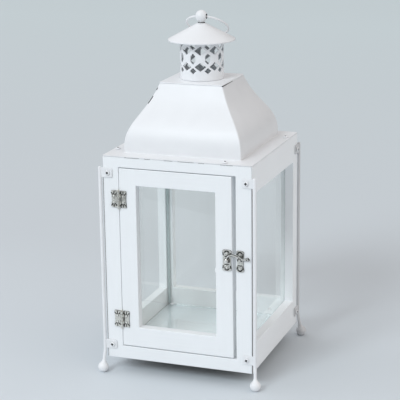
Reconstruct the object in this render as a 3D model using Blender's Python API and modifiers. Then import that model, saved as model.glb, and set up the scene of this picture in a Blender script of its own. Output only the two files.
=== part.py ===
# Square candle lantern: painted wooden frames with glass panes, a hinged front door with a
# swing-hook clasp, corner rods that end in ball feet, and a sheet-metal roof with a pierced
# vent collar, a conical cap, a ball finial and a carrying ring.
#
# Units are metres. +Z is up, the door faces -Y, and the origin is on the ground at the middle.

import math

import bmesh
import bpy
from mathutils import Matrix, Vector
from mathutils.geometry import interpolate_bezier

MM = 0.001

# General fits
GAP = 0.3 * MM                    # clearance between pieces that touch
HOLE_CLEARANCE = 0.3 * MM         # radial clearance round screws, nails and pins
EDGE_ROUND = 0.6 * MM             # softened edges of the painted wood

# Body
BODY_WIDTH = 160.0 * MM           # square plan, over the frames
BODY_LIFT = 16.2 * MM             # underside of the frames above the ground
FRAME_HEIGHT = 217.5 * MM
FRAME_THICKNESS = 9.5 * MM
FRONT_STILE = 17.0 * MM
BACK_STILE = 17.0 * MM
SIDE_STILE = 15.0 * MM
DOORWAY_SILL = 13.8 * MM
DOORWAY_HEAD = 10.5 * MM
WINDOW_SILL = 30.0 * MM
WINDOW_HEAD = 29.0 * MM

# Floor and glass
BOARD_THICKNESS = 8.4 * MM
FLOOR_GLASS_THICKNESS = 2.0 * MM
PANE_THICKNESS = 2.0 * MM
PANE_HEAD_SPACE = 0.5 * MM        # panes end this far below the top of the frames
DOOR_PANE_THICKNESS = 2.0 * MM
DOOR_PANE_LAP = 4.5 * MM          # how far the door pane reaches behind the door's bars

# Door
DOOR_THICKNESS = 9.5 * MM
DOOR_STILE = 18.5 * MM
DOOR_HEAD = 17.4 * MM
DOOR_SILL = 21.2 * MM
DOOR_GAP_HINGE = 0.4 * MM
DOOR_GAP_LATCH = 3.3 * MM
DOOR_GAP_TOP = 0.8 * MM
DOOR_GAP_BOTTOM = 1.0 * MM

# Hinges
HINGE_HEIGHT = 18.0 * MM
HINGE_LEAF_WIDTH = 8.4 * MM       # pin axis to outer edge
HINGE_SHEET = 0.8 * MM
KNUCKLE_RADIUS = 1.4 * MM
KNUCKLE_COUNT = 5
KNUCKLE_STRAP = 0.5 * MM          # how far a knuckle's strap runs into its leaf
STRAP_INSET = 0.04 * MM           # the strap's faces lie this deep in the leaf
HINGE_PIN_RADIUS = 0.55 * MM
PIN_TIP_RADIUS = 1.1 * MM
PIN_TIP_HEIGHT = 1.5 * MM
UPPER_HINGE_DROP = 43.8 * MM      # hinge middle below the top of the frame
LOWER_HINGE_RISE = 44.1 * MM      # hinge middle above the bottom of the frame
HINGE_NAIL_SPREAD = 3.4 * MM      # nails above and below the hinge's middle
LEAF_SETBACK = 0.2 * MM           # leaf's inner edge past the knuckles' clearance
LEAF_CORNER_RADIUS = 1.0 * MM
LEAF_EDGE_SHARE = 0.6             # share of the height over which the outer edge is hollow
LEAF_EDGE_HANDLE = Vector((-0.6 * MM, 3.6 * MM))

# Clasp
CLASP_RISE = 119.5 * MM           # clasp middle above the bottom of the frame
CLASP_SHEET = 0.8 * MM
CLASP_PLATE_WIDTH = 10.2 * MM
CLASP_PLATE_MARGIN = 1.1 * MM     # plate edge back from the door's free edge
CATCH_PLATE_WIDTH = 8.4 * MM
CATCH_PLATE_MARGIN = 0.3 * MM     # plate edge back from the doorway's edge
CLASP_PLATE_HEIGHT = 22.4 * MM
CLASP_NAIL_SPREAD = 7.6 * MM      # nails above and below the clasp's middle
CLASP_CREST = 2.0 * MM            # rise of the plates' crowned ends
CLASP_EDGE_HANDLE = Vector((-1.0 * MM, 6.4 * MM))
CLASP_BAR_SLOT_RISE = 4.3 * MM    # level slots above and below the clasp's middle
CLASP_BAR_SLOT_REACH = 2.2 * MM
HOOK_SHEET = 1.2 * MM
HOOK_EYE_HANDLE = Vector((-0.5 * MM, 8.0 * MM))
HOOK_LOBE_HANDLE = Vector((-5.5 * MM, 5.0 * MM))
HOOK_BAND = 2.4 * MM              # width of the hook's arched band
HOOK_EYE_RADIUS = 2.6 * MM
HOOK_LOBE_RADIUS = 3.0 * MM       # round lobe over the stud
HOOK_KNOB_RADIUS = 1.9 * MM
HOOK_LOBE_LIFT = 1.2 * MM         # lobe middle above the stud
HOOK_OVERREACH = 8.6 * MM         # knob middle past the stud
HOOK_KNOB_RISE = 3.5 * MM         # knob middle above the pivot
HOOK_NECK_HANDLE = Vector((2.6 * MM, 0))
HOOK_KNOB_HANDLE = Vector((-2.6 * MM, -0.5 * MM))
PIVOT_RADIUS = 1.0 * MM
PIVOT_SHOULDER_RADIUS = 2.0 * MM
PIVOT_HEAD_RADIUS = 2.1 * MM
PIVOT_HEAD_HEIGHT = 0.8 * MM
PIVOT_DEPTH = 5.0 * MM
STUD_RISE = 1.8 * MM              # stud above the pivot
STUD_RADIUS = 1.1 * MM
STUD_PROUD = 0.8 * MM             # stud's end in front of the hook
STUD_CHAMFER = 0.4 * MM

# Fans of slots in the hinge leaves and the clasp plates, measured from a nail
FAN_START = 1.9 * MM
FAN_SLOT_RADIUS = 0.5 * MM
LEAF_FAN_ANGLES = (-42, 0, 42)    # degrees from upright
LEAF_FAN_END = 3.6 * MM
CLASP_FAN_ANGLES = (-86, -43, 0, 43, 86)
CLASP_FAN_END = 2.7 * MM

# Nails of the hinges and the clasp
NAIL_RADIUS = 0.5 * MM
NAIL_DEPTH = 5.0 * MM
NAIL_HEAD_RADIUS = 1.1 * MM
NAIL_HEAD_HEIGHT = 0.5 * MM

# Corner rods
ROD_RADIUS = 1.7 * MM
ROD_STANDOFF = 1.3 * MM           # clear space between a rod and the face beside it
ROD_TOP_DROP = 10.7 * MM          # top of the rods below the top of the frames
TAB_THICKNESS = 1.0 * MM
TAB_HEIGHT = 9.8 * MM
TAB_REACH = 10.6 * MM             # from the corner to the tab's inner end
TAB_CORNER_RADIUS = 2.2 * MM
TAB_SCREW_INSET = 5.8 * MM        # from the corner to the screw
UPPER_TAB_DROP = 16.6 * MM        # tab middle below the top of the frame
LOWER_TAB_RISE = 14.8 * MM        # tab middle above the bottom of the frame
ROD_BEND_DROP = 6.5 * MM          # bend below the lower tab's middle
ROD_BEND_REACH = 2.0 * MM         # the bend starts this far from its corner
ROD_END_TAPER = 0.7 * MM          # length of the drawn-in upper end
FOOT_OFFSET = 4.4 * MM            # foot's middle outside the corner, both ways
FOOT_RADIUS = 5.6 * MM
FOOT_FLAT_DEPTH = 0.3 * MM        # the ball is ground flat by this much
FOOT_NECK_RISE = 9.5 * MM         # from the ball's middle up to where the rod begins
FOOT_NECK_ANGLE = 48              # degrees from the axis to where the neck leaves the ball
NECK_UPPER_HANDLE = Vector((0, -3.0 * MM))
NECK_LOWER_HANDLE = Vector((-1.6 * MM, 1.5 * MM))

# Screws
SCREW_RADIUS = 1.3 * MM
SCREW_LENGTH = 4.6 * MM
SCREW_HEAD_RADIUS = 2.5 * MM
SCREW_HEAD_HEIGHT = 1.5 * MM
CROSS_WIDTH = 0.8 * MM
CROSS_SPAN = 2.8 * MM
CROSS_DEPTH = 0.8 * MM

# Roof
SHEET = 0.9 * MM
ROOF_BASE_HALF = 62.8 * MM        # half width where the roof rises from its flange
ROOF_TOP_HALF = 34.2 * MM
ROOF_RISE = 68.4 * MM             # from the flange to the top edge
ROOF_UPPER_HANDLE = Vector((11.0 * MM, -32.0 * MM))
ROOF_LOWER_HANDLE = Vector((3.0 * MM, 30.0 * MM))
ROOF_STEPS = 12
ROOF_LIP = 7.0 * MM               # inward lip that carries the top plate
FLANGE_CORNER_RADIUS = 2.5 * MM
TOP_PLATE_CORNER_RADIUS = 1.5 * MM
ROOF_SCREW_OFFSET = 50.5 * MM     # screw from the middle of its side

# Vent collar
COLLAR_RADIUS = 22.6 * MM
COLLAR_HEIGHT = 45.7 * MM
COLLAR_STEPS = 27
VENT_BORE_LEDGE = 1.6 * MM        # top plate's hole inside the collar's bore
VENT_COLUMNS = 9
VENT_FIRST_ANGLE = -94.3          # degrees from +X to one narrow column of openings
VENT_BIG_WIDTH = 12.4 * MM
VENT_BIG_HEIGHT = 9.2 * MM
VENT_BIG_OFFSET = 8.3 * MM        # above and below the middle of the pattern
VENT_SMALL_WIDTH = 7.4 * MM
VENT_SMALL_HEIGHT = 6.6 * MM
VENT_SMALL_OFFSET = 12.4 * MM
VENT_SLOT_WIDTH = 5.6 * MM
VENT_SLOT_HEIGHT = 11.4 * MM

# Cap and finial
CAP_RADIUS = 34.8 * MM
CAP_CROWN_RADIUS = 4.0 * MM
CAP_RISE = 16.4 * MM              # rim fold to crown
CAP_LIP = 1.3 * MM
FINIAL_RADIUS = 6.2 * MM
FINIAL_FOOT_RADIUS = 3.2 * MM
FINIAL_FOOT_RISE = 6.9 * MM       # from the cap's crown to the ball's middle
FINIAL_STEM_RADIUS = 1.7 * MM
NUT_ACROSS_FLATS = 6.0 * MM
NUT_HEIGHT = 2.2 * MM
STEM_PAST_NUT = 0.8 * MM

# Carrying ring
RING_RADIUS = 22.0 * MM           # to the middle of the wire
RING_WIRE_RADIUS = 1.05 * MM
RING_PLAY = 0.7 * MM              # least clearance of the wire in the finial's hole

# Facets of round pieces
FINE_STEPS = 36
ROUND_STEPS = 20
SMALL_STEPS = 12
TINY_STEPS = 8
BALL_STEPS = 5
CUT_OVERRUN = 1.0 * MM            # cutters reach this far past what they cut

# Derived places
HALF_BODY = BODY_WIDTH / 2
INNER_HALF = HALF_BODY - FRAME_THICKNESS
FRAME_TOP = BODY_LIFT + FRAME_HEIGHT
MITRE_CLEARANCE = GAP / math.sqrt(2)
DOORWAY_HALF = HALF_BODY - FRONT_STILE
DOOR_LEFT = -DOORWAY_HALF + DOOR_GAP_HINGE
DOOR_RIGHT = DOORWAY_HALF - DOOR_GAP_LATCH
DOOR_WIDTH = DOOR_RIGHT - DOOR_LEFT
DOOR_BOTTOM = BODY_LIFT + DOORWAY_SILL + DOOR_GAP_BOTTOM
DOOR_TOP = FRAME_TOP - DOORWAY_HEAD - DOOR_GAP_TOP
DOOR_HEIGHT = DOOR_TOP - DOOR_BOTTOM
BOARD_TOP = BODY_LIFT + BOARD_THICKNESS
PANE_BOTTOM = BOARD_TOP + GAP
PANE_HEIGHT = FRAME_TOP - PANE_HEAD_SPACE - PANE_BOTTOM
PANE_OUTER = INNER_HALF - GAP
PANE_INNER = PANE_OUTER - PANE_THICKNESS
HINGE_X = -DOORWAY_HALF + DOOR_GAP_HINGE / 2
HINGE_Y = -HALF_BODY - GAP - KNUCKLE_RADIUS
HINGE_MIDDLES = {
    "upper": FRAME_TOP - UPPER_HINGE_DROP,
    "lower": BODY_LIFT + LOWER_HINGE_RISE,
}
HINGE_NAIL_OFFSET = (KNUCKLE_RADIUS + GAP + HINGE_LEAF_WIDTH) / 2
CLASP_MIDDLE = BODY_LIFT + CLASP_RISE
CLASP_PLATE_X = DOOR_RIGHT - CLASP_PLATE_MARGIN - CLASP_PLATE_WIDTH / 2
CATCH_PLATE_X = DOORWAY_HALF + CATCH_PLATE_MARGIN + CATCH_PLATE_WIDTH / 2
PLATE_FRONT = -HALF_BODY - GAP - CLASP_SHEET
HOOK_BACK = PLATE_FRONT - GAP - NAIL_HEAD_HEIGHT - GAP
HOOK_FRONT = HOOK_BACK - HOOK_SHEET
HOOK_REACH = CATCH_PLATE_X - CLASP_PLATE_X
TAB_FRONT = GAP + TAB_THICKNESS
FLANGE_TOP = FRAME_TOP + GAP + SHEET
ROOF_TOP = FLANGE_TOP + ROOF_RISE
TOP_PLATE_BOTTOM = ROOF_TOP + GAP
COLLAR_BOTTOM = TOP_PLATE_BOTTOM + SHEET + GAP
COLLAR_TOP = COLLAR_BOTTOM + COLLAR_HEIGHT
CAP_SLOPE = CAP_RISE / (CAP_RADIUS - CAP_CROWN_RADIUS)
CAP_STEEPNESS = math.sqrt(1 + CAP_SLOPE**2)
CAP_RIM = COLLAR_TOP + (GAP + SHEET) * CAP_STEEPNESS - CAP_SLOPE * (CAP_RADIUS - COLLAR_RADIUS)
CAP_CROWN = CAP_RIM + CAP_RISE
FINIAL_MIDDLE = CAP_CROWN + FINIAL_FOOT_RISE

parts = bpy.data.collections.new("candle_lantern")
cutters = bpy.data.collections.new("cutters")


def reset_scene():
    """Empties the scene and links the two collections."""
    for old in list(bpy.data.objects):
        bpy.data.objects.remove(old, do_unlink=True)
    bpy.context.scene.collection.children.link(parts)
    bpy.context.scene.collection.children.link(cutters)


def make_material(name, colour, roughness, metallic=0.0, transmission=0.0):
    """A Principled BSDF material."""
    material = bpy.data.materials.new(name)
    material.use_nodes = True
    shader = material.node_tree.nodes["Principled BSDF"]
    shader.inputs["Base Color"].default_value = (*colour, 1.0)
    shader.inputs["Roughness"].default_value = roughness
    shader.inputs["Metallic"].default_value = metallic
    shader.inputs["Transmission Weight"].default_value = transmission
    material.diffuse_color = (*colour, 1.0)
    return material


def painted(name):
    return make_material(name + "_paint", (0.80, 0.84, 0.88), 0.45)


def glass(name):
    return make_material(name + "_glass", (0.72, 0.80, 0.78), 0.03, transmission=1.0)


def bare_metal(name):
    return make_material(name + "_metal", (0.56, 0.55, 0.49), 0.3, metallic=1.0)


# Placing pieces

def add_part(name, mesh, material, location=(0, 0, 0), turn=0.0, parent=None):
    """Links a mesh as a named piece at a world location, turned about Z."""
    mesh.materials.clear()
    mesh.materials.append(material)
    piece = bpy.data.objects.new(name, mesh)
    parts.objects.link(piece)
    put(piece, location, parent)
    piece.rotation_euler = (0, 0, turn)
    return piece


def put(item, location, parent=None):
    """Sets a world location, also under a parent empty, which is never turned."""
    item.location = Vector(location)
    if parent is not None:
        item.parent = parent
        item.location -= Vector(parent["world_location"])


def add_pivot(name, location, parent=None):
    """An empty on a joint's axis."""
    pivot = bpy.data.objects.new(name, None)
    pivot.empty_display_size = 10 * MM
    parts.objects.link(pivot)
    put(pivot, location, parent)
    pivot["world_location"] = tuple(location)
    return pivot


# Shapes

def box_mesh(low, high):
    """A box between two corners."""
    low = Vector(low)
    high = Vector(high)
    shape = bmesh.new()
    bmesh.ops.create_cube(shape, size=1.0)
    bmesh.ops.scale(shape, vec=high - low, verts=shape.verts)
    bmesh.ops.translate(shape, vec=(low + high) / 2, verts=shape.verts)
    return mesh_of(shape)


def mesh_of(shape):
    """Turns a bmesh into a mesh with its faces pointing out."""
    bmesh.ops.recalc_face_normals(shape, faces=shape.faces)
    mesh = bpy.data.meshes.new("shape")
    shape.to_mesh(mesh)
    shape.free()
    return mesh


def baked(piece):
    """The welded mesh of an object with its modifiers, which then goes away."""
    bpy.context.view_layer.update()
    evaluated = piece.evaluated_get(bpy.context.evaluated_depsgraph_get())
    shape = bmesh.new()
    shape.from_mesh(bpy.data.meshes.new_from_object(evaluated))
    bmesh.ops.remove_doubles(shape, verts=shape.verts, dist=0.001 * MM)
    bpy.data.objects.remove(piece, do_unlink=True)
    return mesh_of(shape)


def curve_mesh(curve):
    """The welded mesh of a curve."""
    holder = bpy.data.objects.new("curve", curve)
    cutters.objects.link(holder)
    return baked(holder)


def fill_splines(curve, outlines, cyclic):
    """Adds each list of points to a curve as a polyline."""
    for points in outlines:
        spline = curve.splines.new("POLY")
        spline.points.add(len(points) - 1)
        for spline_point, point in zip(spline.points, points):
            spline_point.co = (*Vector(point).to_3d(), 1.0)
        spline.use_cyclic_u = cyclic


def plate_mesh(outlines, thickness, upright=True):
    """A flat sheet from an outline and its holes, its middle plane on the origin.

    An upright sheet stands in the X-Z plane and faces -Y, any other lies in the X-Y plane.
    """
    curve = bpy.data.curves.new("outline", "CURVE")
    curve.dimensions = "2D"
    curve.fill_mode = "BOTH"
    curve.extrude = thickness / 2
    fill_splines(curve, outlines, cyclic=True)
    mesh = curve_mesh(curve)
    if upright:
        mesh.transform(Matrix.Rotation(math.radians(90), 4, "X"))
    return mesh


def wire_mesh(points, radius, end_shrink=1.0):
    """A wire along points, with its first end drawn in."""
    curve = bpy.data.curves.new("wire", "CURVE")
    curve.dimensions = "3D"
    curve.bevel_depth = radius
    curve.bevel_resolution = 2
    curve.use_fill_caps = True
    fill_splines(curve, [points], cyclic=False)
    curve.splines[0].points[0].radius = end_shrink
    return curve_mesh(curve)


def arc(centre, radius, start, end, steps):
    """Points on an arc, angles in degrees."""
    points = []
    for step in range(steps + 1):
        angle = math.radians(start + (end - start) * step / steps)
        points.append(Vector(centre) + radius * Vector((math.cos(angle), math.sin(angle))))
    return points


def circle(centre, radius, steps=SMALL_STEPS):
    return arc(centre, radius, 0, 360, steps)[:-1]


def bezier(start, start_handle, end_handle, end, steps):
    """Points on a cubic curve whose handles are given from their ends."""
    start = Vector(start)
    end = Vector(end)
    return interpolate_bezier(start, start + start_handle, end + end_handle, end, steps + 1)


def turned(profile, steps, closed=False):
    """An object turned about Z from radius and height pairs, top to bottom on its outer side."""
    mesh = bpy.data.meshes.new("profile")
    vertices = [(radius, 0, height) for radius, height in profile]
    edges = [(index, index + 1) for index in range(len(profile) - 1)]
    if closed:
        edges.append((len(profile) - 1, 0))
    mesh.from_pydata(vertices, edges, [])
    piece = bpy.data.objects.new("turned", mesh)
    cutters.objects.link(piece)
    screw = piece.modifiers.new("turning", "SCREW")
    screw.steps = steps
    screw.render_steps = steps
    screw.use_merge_vertices = True
    screw.merge_threshold = 0.01 * MM
    return piece


def turned_mesh(profile, steps, closed=False):
    return baked(turned(profile, steps, closed))


def add_thickness(piece, thickness):
    """Thickens an open sheet towards its inner side."""
    solidify = piece.modifiers.new("sheet thickness", "SOLIDIFY")
    solidify.thickness = thickness
    solidify.offset = -1
    solidify.use_even_offset = True
    solidify.use_quality_normals = True


def round_edges(piece, width=EDGE_ROUND, segments=2):
    """Rounds a piece's sharp edges."""
    bevel = piece.modifiers.new("rounded edges", "BEVEL")
    bevel.width = width
    bevel.segments = segments
    bevel.limit_method = "ANGLE"
    bevel.angle_limit = math.radians(50)


def combine(piece, mesh, operation):
    """Adds, takes away or intersects a body given in the piece's own coordinates."""
    body = bpy.data.objects.new("cutter", mesh)
    cutters.objects.link(body)
    body.parent = piece
    body.hide_render = True
    body.display_type = "WIRE"
    boolean = piece.modifiers.new("boolean", "BOOLEAN")
    boolean.operation = operation
    boolean.solver = "EXACT"
    boolean.object = body


def cut(piece, mesh):
    combine(piece, mesh, "DIFFERENCE")


def unite(piece, mesh):
    combine(piece, mesh, "UNION")


def holes_mesh(holes, steps=TINY_STEPS):
    """Cylinders that cut holes, each given as start, direction, depth and radius."""
    shape = bmesh.new()
    for start, direction, depth, radius in holes:
        axis = Vector(direction)
        length = depth + CUT_OVERRUN
        middle = Vector(start) + axis * (depth - length / 2)
        turn = Vector((0, 0, 1)).rotation_difference(axis).to_matrix().to_4x4()
        bmesh.ops.create_cone(
            shape,
            cap_ends=True,
            segments=steps,
            radius1=radius,
            radius2=radius,
            depth=length,
            matrix=Matrix.Translation(middle) @ turn,
        )
    return mesh_of(shape)


def smooth(mesh, angle=35):
    """Shades a round piece smooth, with its sharp edges kept."""
    mesh.shade_smooth()
    mesh.set_sharp_from_angle(angle=math.radians(angle))
    return mesh


# Fasteners

def screw_mesh():
    """A pan-head screw with a cross recess, head up, its seat at the origin."""
    profile = [
        (0, SCREW_HEAD_HEIGHT),
        (SCREW_HEAD_RADIUS * 0.8, SCREW_HEAD_HEIGHT * 0.8),
        (SCREW_HEAD_RADIUS, 0),
        (SCREW_RADIUS, 0),
        (SCREW_RADIUS, -SCREW_LENGTH + SCREW_RADIUS),
        (0, -SCREW_LENGTH),
    ]
    screw = turned(profile, TINY_STEPS)
    floor = SCREW_HEAD_HEIGHT - CROSS_DEPTH
    top = SCREW_HEAD_HEIGHT + CUT_OVERRUN
    long = CROSS_SPAN / 2
    short = CROSS_WIDTH / 2
    cut(screw, box_mesh((-long, -short, floor), (long, short, top)))
    cut(screw, box_mesh((-short, -long, floor), (short, long, top)))
    return smooth(baked(screw))


def nail_mesh():
    """A round-headed nail, head up, its seat at the origin."""
    length = HINGE_SHEET + NAIL_DEPTH
    profile = [
        (0, NAIL_HEAD_HEIGHT),
        (NAIL_HEAD_RADIUS * 0.7, NAIL_HEAD_HEIGHT * 0.75),
        (NAIL_HEAD_RADIUS, 0),
        (NAIL_RADIUS, 0),
        (NAIL_RADIUS, -length + 2 * NAIL_RADIUS),
        (0, -length),
    ]
    return smooth(turned_mesh(profile, TINY_STEPS))


def drive(name, mesh, material, seat, outward, parent=None):
    """Places a screw or nail with its head facing outward."""
    fastener = add_part(name, mesh, material, seat, parent=parent)
    fastener.rotation_euler = Vector((0, 0, 1)).rotation_difference(Vector(outward)).to_euler()
    return fastener


# Wooden body

def mitred_frame(name, turn, stile, sill, head):
    """One side of the body, mitred at both ends. Its own front is -Y."""
    half = HALF_BODY - MITRE_CLEARANCE
    mesh = box_mesh((-half, -HALF_BODY, 0), (half, -INNER_HALF, FRAME_HEIGHT))
    for vertex in mesh.vertices:
        if math.isclose(vertex.co.y, -INNER_HALF, abs_tol=0.01 * MM):
            vertex.co.x -= math.copysign(FRAME_THICKNESS, vertex.co.x)
    frame = add_part(name, mesh, painted(name), (0, 0, BODY_LIFT), turn)
    opening = box_mesh(
        (-HALF_BODY + stile, -HALF_BODY - CUT_OVERRUN, sill),
        (HALF_BODY - stile, -INNER_HALF + CUT_OVERRUN, FRAME_HEIGHT - head),
    )
    cut(frame, opening)
    round_edges(frame)
    return frame


def tab_heights():
    """Heights of the rods' tabs above the bottom of the frames."""
    return LOWER_TAB_RISE, FRAME_HEIGHT - UPPER_TAB_DROP


def screw_hole(x, y, z, direction):
    """A pilot hole for a screw that passes a tab or flange first."""
    depth = SCREW_LENGTH - TAB_THICKNESS - GAP
    return (x, y, z), direction, depth, SCREW_RADIUS + HOLE_CLEARANCE


def nail_hole(x, y, z):
    """A pilot hole for a nail, along +Y."""
    return (x, y, z), (0, 1, 0), NAIL_DEPTH, NAIL_RADIUS + HOLE_CLEARANCE


def roof_screw_hole():
    """The pilot hole in the top edge of each frame."""
    middle = -HALF_BODY + FRAME_THICKNESS / 2
    return screw_hole(ROOF_SCREW_OFFSET, middle, FRAME_HEIGHT, (0, 0, -1))


def tab_screw_holes(side):
    """Pilot holes in a frame's outer face, beside its edge at -1 or +1."""
    x = side * (HALF_BODY - TAB_SCREW_INSET)
    return [screw_hole(x, -HALF_BODY, height, (0, 1, 0)) for height in tab_heights()]


def make_body():
    """The four mitred frames, drilled for their screws and nails."""
    front = mitred_frame("front_frame", 0, FRONT_STILE, DOORWAY_SILL, DOORWAY_HEAD)
    right = mitred_frame("right_frame", math.radians(90), SIDE_STILE, WINDOW_SILL, WINDOW_HEAD)
    back = mitred_frame("back_frame", math.radians(180), BACK_STILE, WINDOW_SILL, WINDOW_HEAD)
    left = mitred_frame("left_frame", math.radians(270), SIDE_STILE, WINDOW_SILL, WINDOW_HEAD)
    front_holes = tab_screw_holes(-1) + tab_screw_holes(1)
    for middle in HINGE_MIDDLES.values():
        for rise in (-HINGE_NAIL_SPREAD, HINGE_NAIL_SPREAD):
            height = middle + rise - BODY_LIFT
            front_holes.append(nail_hole(HINGE_X - HINGE_NAIL_OFFSET, -HALF_BODY, height))
    for rise in (-CLASP_NAIL_SPREAD, CLASP_NAIL_SPREAD):
        front_holes.append(nail_hole(CATCH_PLATE_X, -HALF_BODY, CLASP_RISE + rise))
    cut(front, holes_mesh(front_holes + [roof_screw_hole()]))
    cut(right, holes_mesh(tab_screw_holes(1) + [roof_screw_hole()]))
    cut(back, holes_mesh([roof_screw_hole()]))
    cut(left, holes_mesh(tab_screw_holes(-1) + [roof_screw_hole()]))


def make_floor():
    """The floor board and the glass that lies on it."""
    half = INNER_HALF - GAP
    board = box_mesh((-half, -half, 0), (half, half, BOARD_THICKNESS))
    add_part("floor_board", board, painted("floor_board"), (0, 0, BODY_LIFT))
    side = PANE_INNER - GAP
    plate = box_mesh((-side, -half, 0), (side, side, FLOOR_GLASS_THICKNESS))
    add_part("floor_glass", plate, glass("floor_glass"), (0, 0, BOARD_TOP + GAP))


def make_panes():
    """The panes behind the three windows, which stand on the floor board."""
    side_pane = box_mesh((0, -PANE_OUTER, 0), (PANE_THICKNESS, PANE_OUTER, PANE_HEIGHT))
    back_half = PANE_INNER - GAP
    back_pane = box_mesh((-back_half, 0, 0), (back_half, PANE_THICKNESS, PANE_HEIGHT))
    add_part("left_pane", side_pane, glass("left_pane"), (-PANE_OUTER, 0, PANE_BOTTOM))
    add_part("right_pane", side_pane.copy(), glass("right_pane"), (PANE_INNER, 0, PANE_BOTTOM))
    add_part("back_pane", back_pane, glass("back_pane"), (0, PANE_INNER, PANE_BOTTOM))


# Door

def make_door(pivot):
    """The door's frame and its pane."""
    mesh = box_mesh((0, 0, 0), (DOOR_WIDTH, DOOR_THICKNESS, DOOR_HEIGHT))
    corner = Vector((DOOR_LEFT, -HALF_BODY, DOOR_BOTTOM))
    frame = add_part("door_frame", mesh, painted("door_frame"), corner, parent=pivot)
    opening = box_mesh(
        (DOOR_STILE, -CUT_OVERRUN, DOOR_SILL),
        (DOOR_WIDTH - DOOR_STILE, DOOR_THICKNESS + CUT_OVERRUN, DOOR_HEIGHT - DOOR_HEAD),
    )
    cut(frame, opening)
    round_edges(frame)
    holes = []
    for middle in HINGE_MIDDLES.values():
        for rise in (-HINGE_NAIL_SPREAD, HINGE_NAIL_SPREAD):
            height = middle + rise - DOOR_BOTTOM
            holes.append(nail_hole(HINGE_X + HINGE_NAIL_OFFSET - DOOR_LEFT, 0, height))
    clasp_x = CLASP_PLATE_X - DOOR_LEFT
    clasp_z = CLASP_MIDDLE - DOOR_BOTTOM
    for rise in (-CLASP_NAIL_SPREAD, CLASP_NAIL_SPREAD):
        holes.append(nail_hole(clasp_x, 0, clasp_z + rise))
    holes.append(((clasp_x, 0, clasp_z), (0, 1, 0), PIVOT_DEPTH, PIVOT_RADIUS + HOLE_CLEARANCE))
    cut(frame, holes_mesh(holes))
    low = (DOOR_STILE - DOOR_PANE_LAP, 0, DOOR_SILL - DOOR_PANE_LAP)
    high = (
        DOOR_WIDTH - DOOR_STILE + DOOR_PANE_LAP,
        DOOR_PANE_THICKNESS,
        DOOR_HEIGHT - DOOR_HEAD + DOOR_PANE_LAP,
    )
    place = corner + Vector((0, DOOR_THICKNESS + GAP, 0))
    add_part("door_pane", box_mesh(low, high), glass("door_pane"), place, parent=pivot)


# Hinges

def slot(start, end, radius, steps=3):
    """A slot with round ends between two points."""
    start = Vector(start)
    end = Vector(end)
    heading = math.degrees(math.atan2(end.y - start.y, end.x - start.x))
    far_end = arc(end, radius, heading - 90, heading + 90, steps)
    near_end = arc(start, radius, heading + 90, heading + 270, steps)
    return far_end + near_end


def fan_of_slots(nail, end, angles, reach):
    """Slots that spread from a nail towards a plate's upper or lower end, +1 or -1."""
    slots = []
    for angle in angles:
        turn = math.radians(angle)
        heading = Vector((math.sin(turn), end * math.cos(turn)))
        slots.append(slot(nail + heading * FAN_START, nail + heading * reach, FAN_SLOT_RADIUS, 2))
    return slots


def hinge_leaf_mesh(side, first_knuckle):
    """A pierced leaf on the side -1 or +1 of the pin, with every second knuckle."""
    inner = KNUCKLE_RADIUS + GAP + LEAF_SETBACK
    half = HINGE_HEIGHT / 2
    corner = LEAF_CORNER_RADIUS
    edge = half * LEAF_EDGE_SHARE
    handle = LEAF_EDGE_HANDLE
    outline = [Vector((inner, -half))]
    outline += arc((HINGE_LEAF_WIDTH - corner, corner - half), corner, -90, 0, 3)
    outline += bezier(
        (HINGE_LEAF_WIDTH, -edge), handle, Vector((handle.x, -handle.y)), (HINGE_LEAF_WIDTH, edge), 6
    )
    outline += arc((HINGE_LEAF_WIDTH - corner, half - corner), corner, 0, 90, 3)
    outline.append(Vector((inner, half)))
    holes = []
    for end in (-1, 1):
        nail = Vector((HINGE_NAIL_OFFSET, end * HINGE_NAIL_SPREAD))
        holes += fan_of_slots(nail, end, LEAF_FAN_ANGLES, LEAF_FAN_END)
        holes.append(circle(nail, NAIL_RADIUS + HOLE_CLEARANCE, TINY_STEPS))
    plate = plate_mesh([outline] + holes, HINGE_SHEET)
    plate.transform(Matrix.Translation((0, KNUCKLE_RADIUS - HINGE_SHEET / 2, 0)))
    leaf = bpy.data.objects.new("leaf", plate)
    cutters.objects.link(leaf)
    pitch = (HINGE_HEIGHT + GAP) / KNUCKLE_COUNT
    for index in range(first_knuckle, KNUCKLE_COUNT, 2):
        knuckle = knuckle_mesh(inner + KNUCKLE_STRAP, pitch - GAP)
        knuckle.transform(Matrix.Translation((0, 0, -half + (index + 0.5) * pitch - GAP / 2)))
        unite(leaf, knuckle)
    mesh = baked(leaf)
    if side < 0:
        mesh.transform(Matrix.Scale(-1, 4, (1, 0, 0)))
        mesh.flip_normals()
    return smooth(mesh)


def knuckle_mesh(strap_end, height):
    """A rolled knuckle round the pin, with the strap that runs into its leaf at +X."""
    front = KNUCKLE_RADIUS - HINGE_SHEET + STRAP_INSET
    back = KNUCKLE_RADIUS - STRAP_INSET
    first = math.degrees(math.asin(back / KNUCKLE_RADIUS))
    last = math.degrees(math.asin(front / KNUCKLE_RADIUS))
    outline = [Vector((strap_end, front)), Vector((strap_end, back))]
    outline += arc((0, 0), KNUCKLE_RADIUS, first, 360 + last, 9)
    bore = circle((0, 0), HINGE_PIN_RADIUS + HOLE_CLEARANCE, TINY_STEPS)
    return plate_mesh([outline, bore], height, upright=False)


def hinge_pin_mesh():
    """The pin with its two small turned tips."""
    shoulder = HINGE_HEIGHT / 2 + GAP
    tip = shoulder + PIN_TIP_HEIGHT
    upper = [
        (0, tip),
        (PIN_TIP_RADIUS * 0.7, tip - PIN_TIP_HEIGHT * 0.2),
        (PIN_TIP_RADIUS, tip - PIN_TIP_HEIGHT * 0.6),
        (PIN_TIP_RADIUS * 0.8, shoulder),
        (HINGE_PIN_RADIUS, shoulder),
    ]
    lower = [(radius, -height) for radius, height in reversed(upper)]
    return smooth(turned_mesh(upper + lower, TINY_STEPS))


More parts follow.
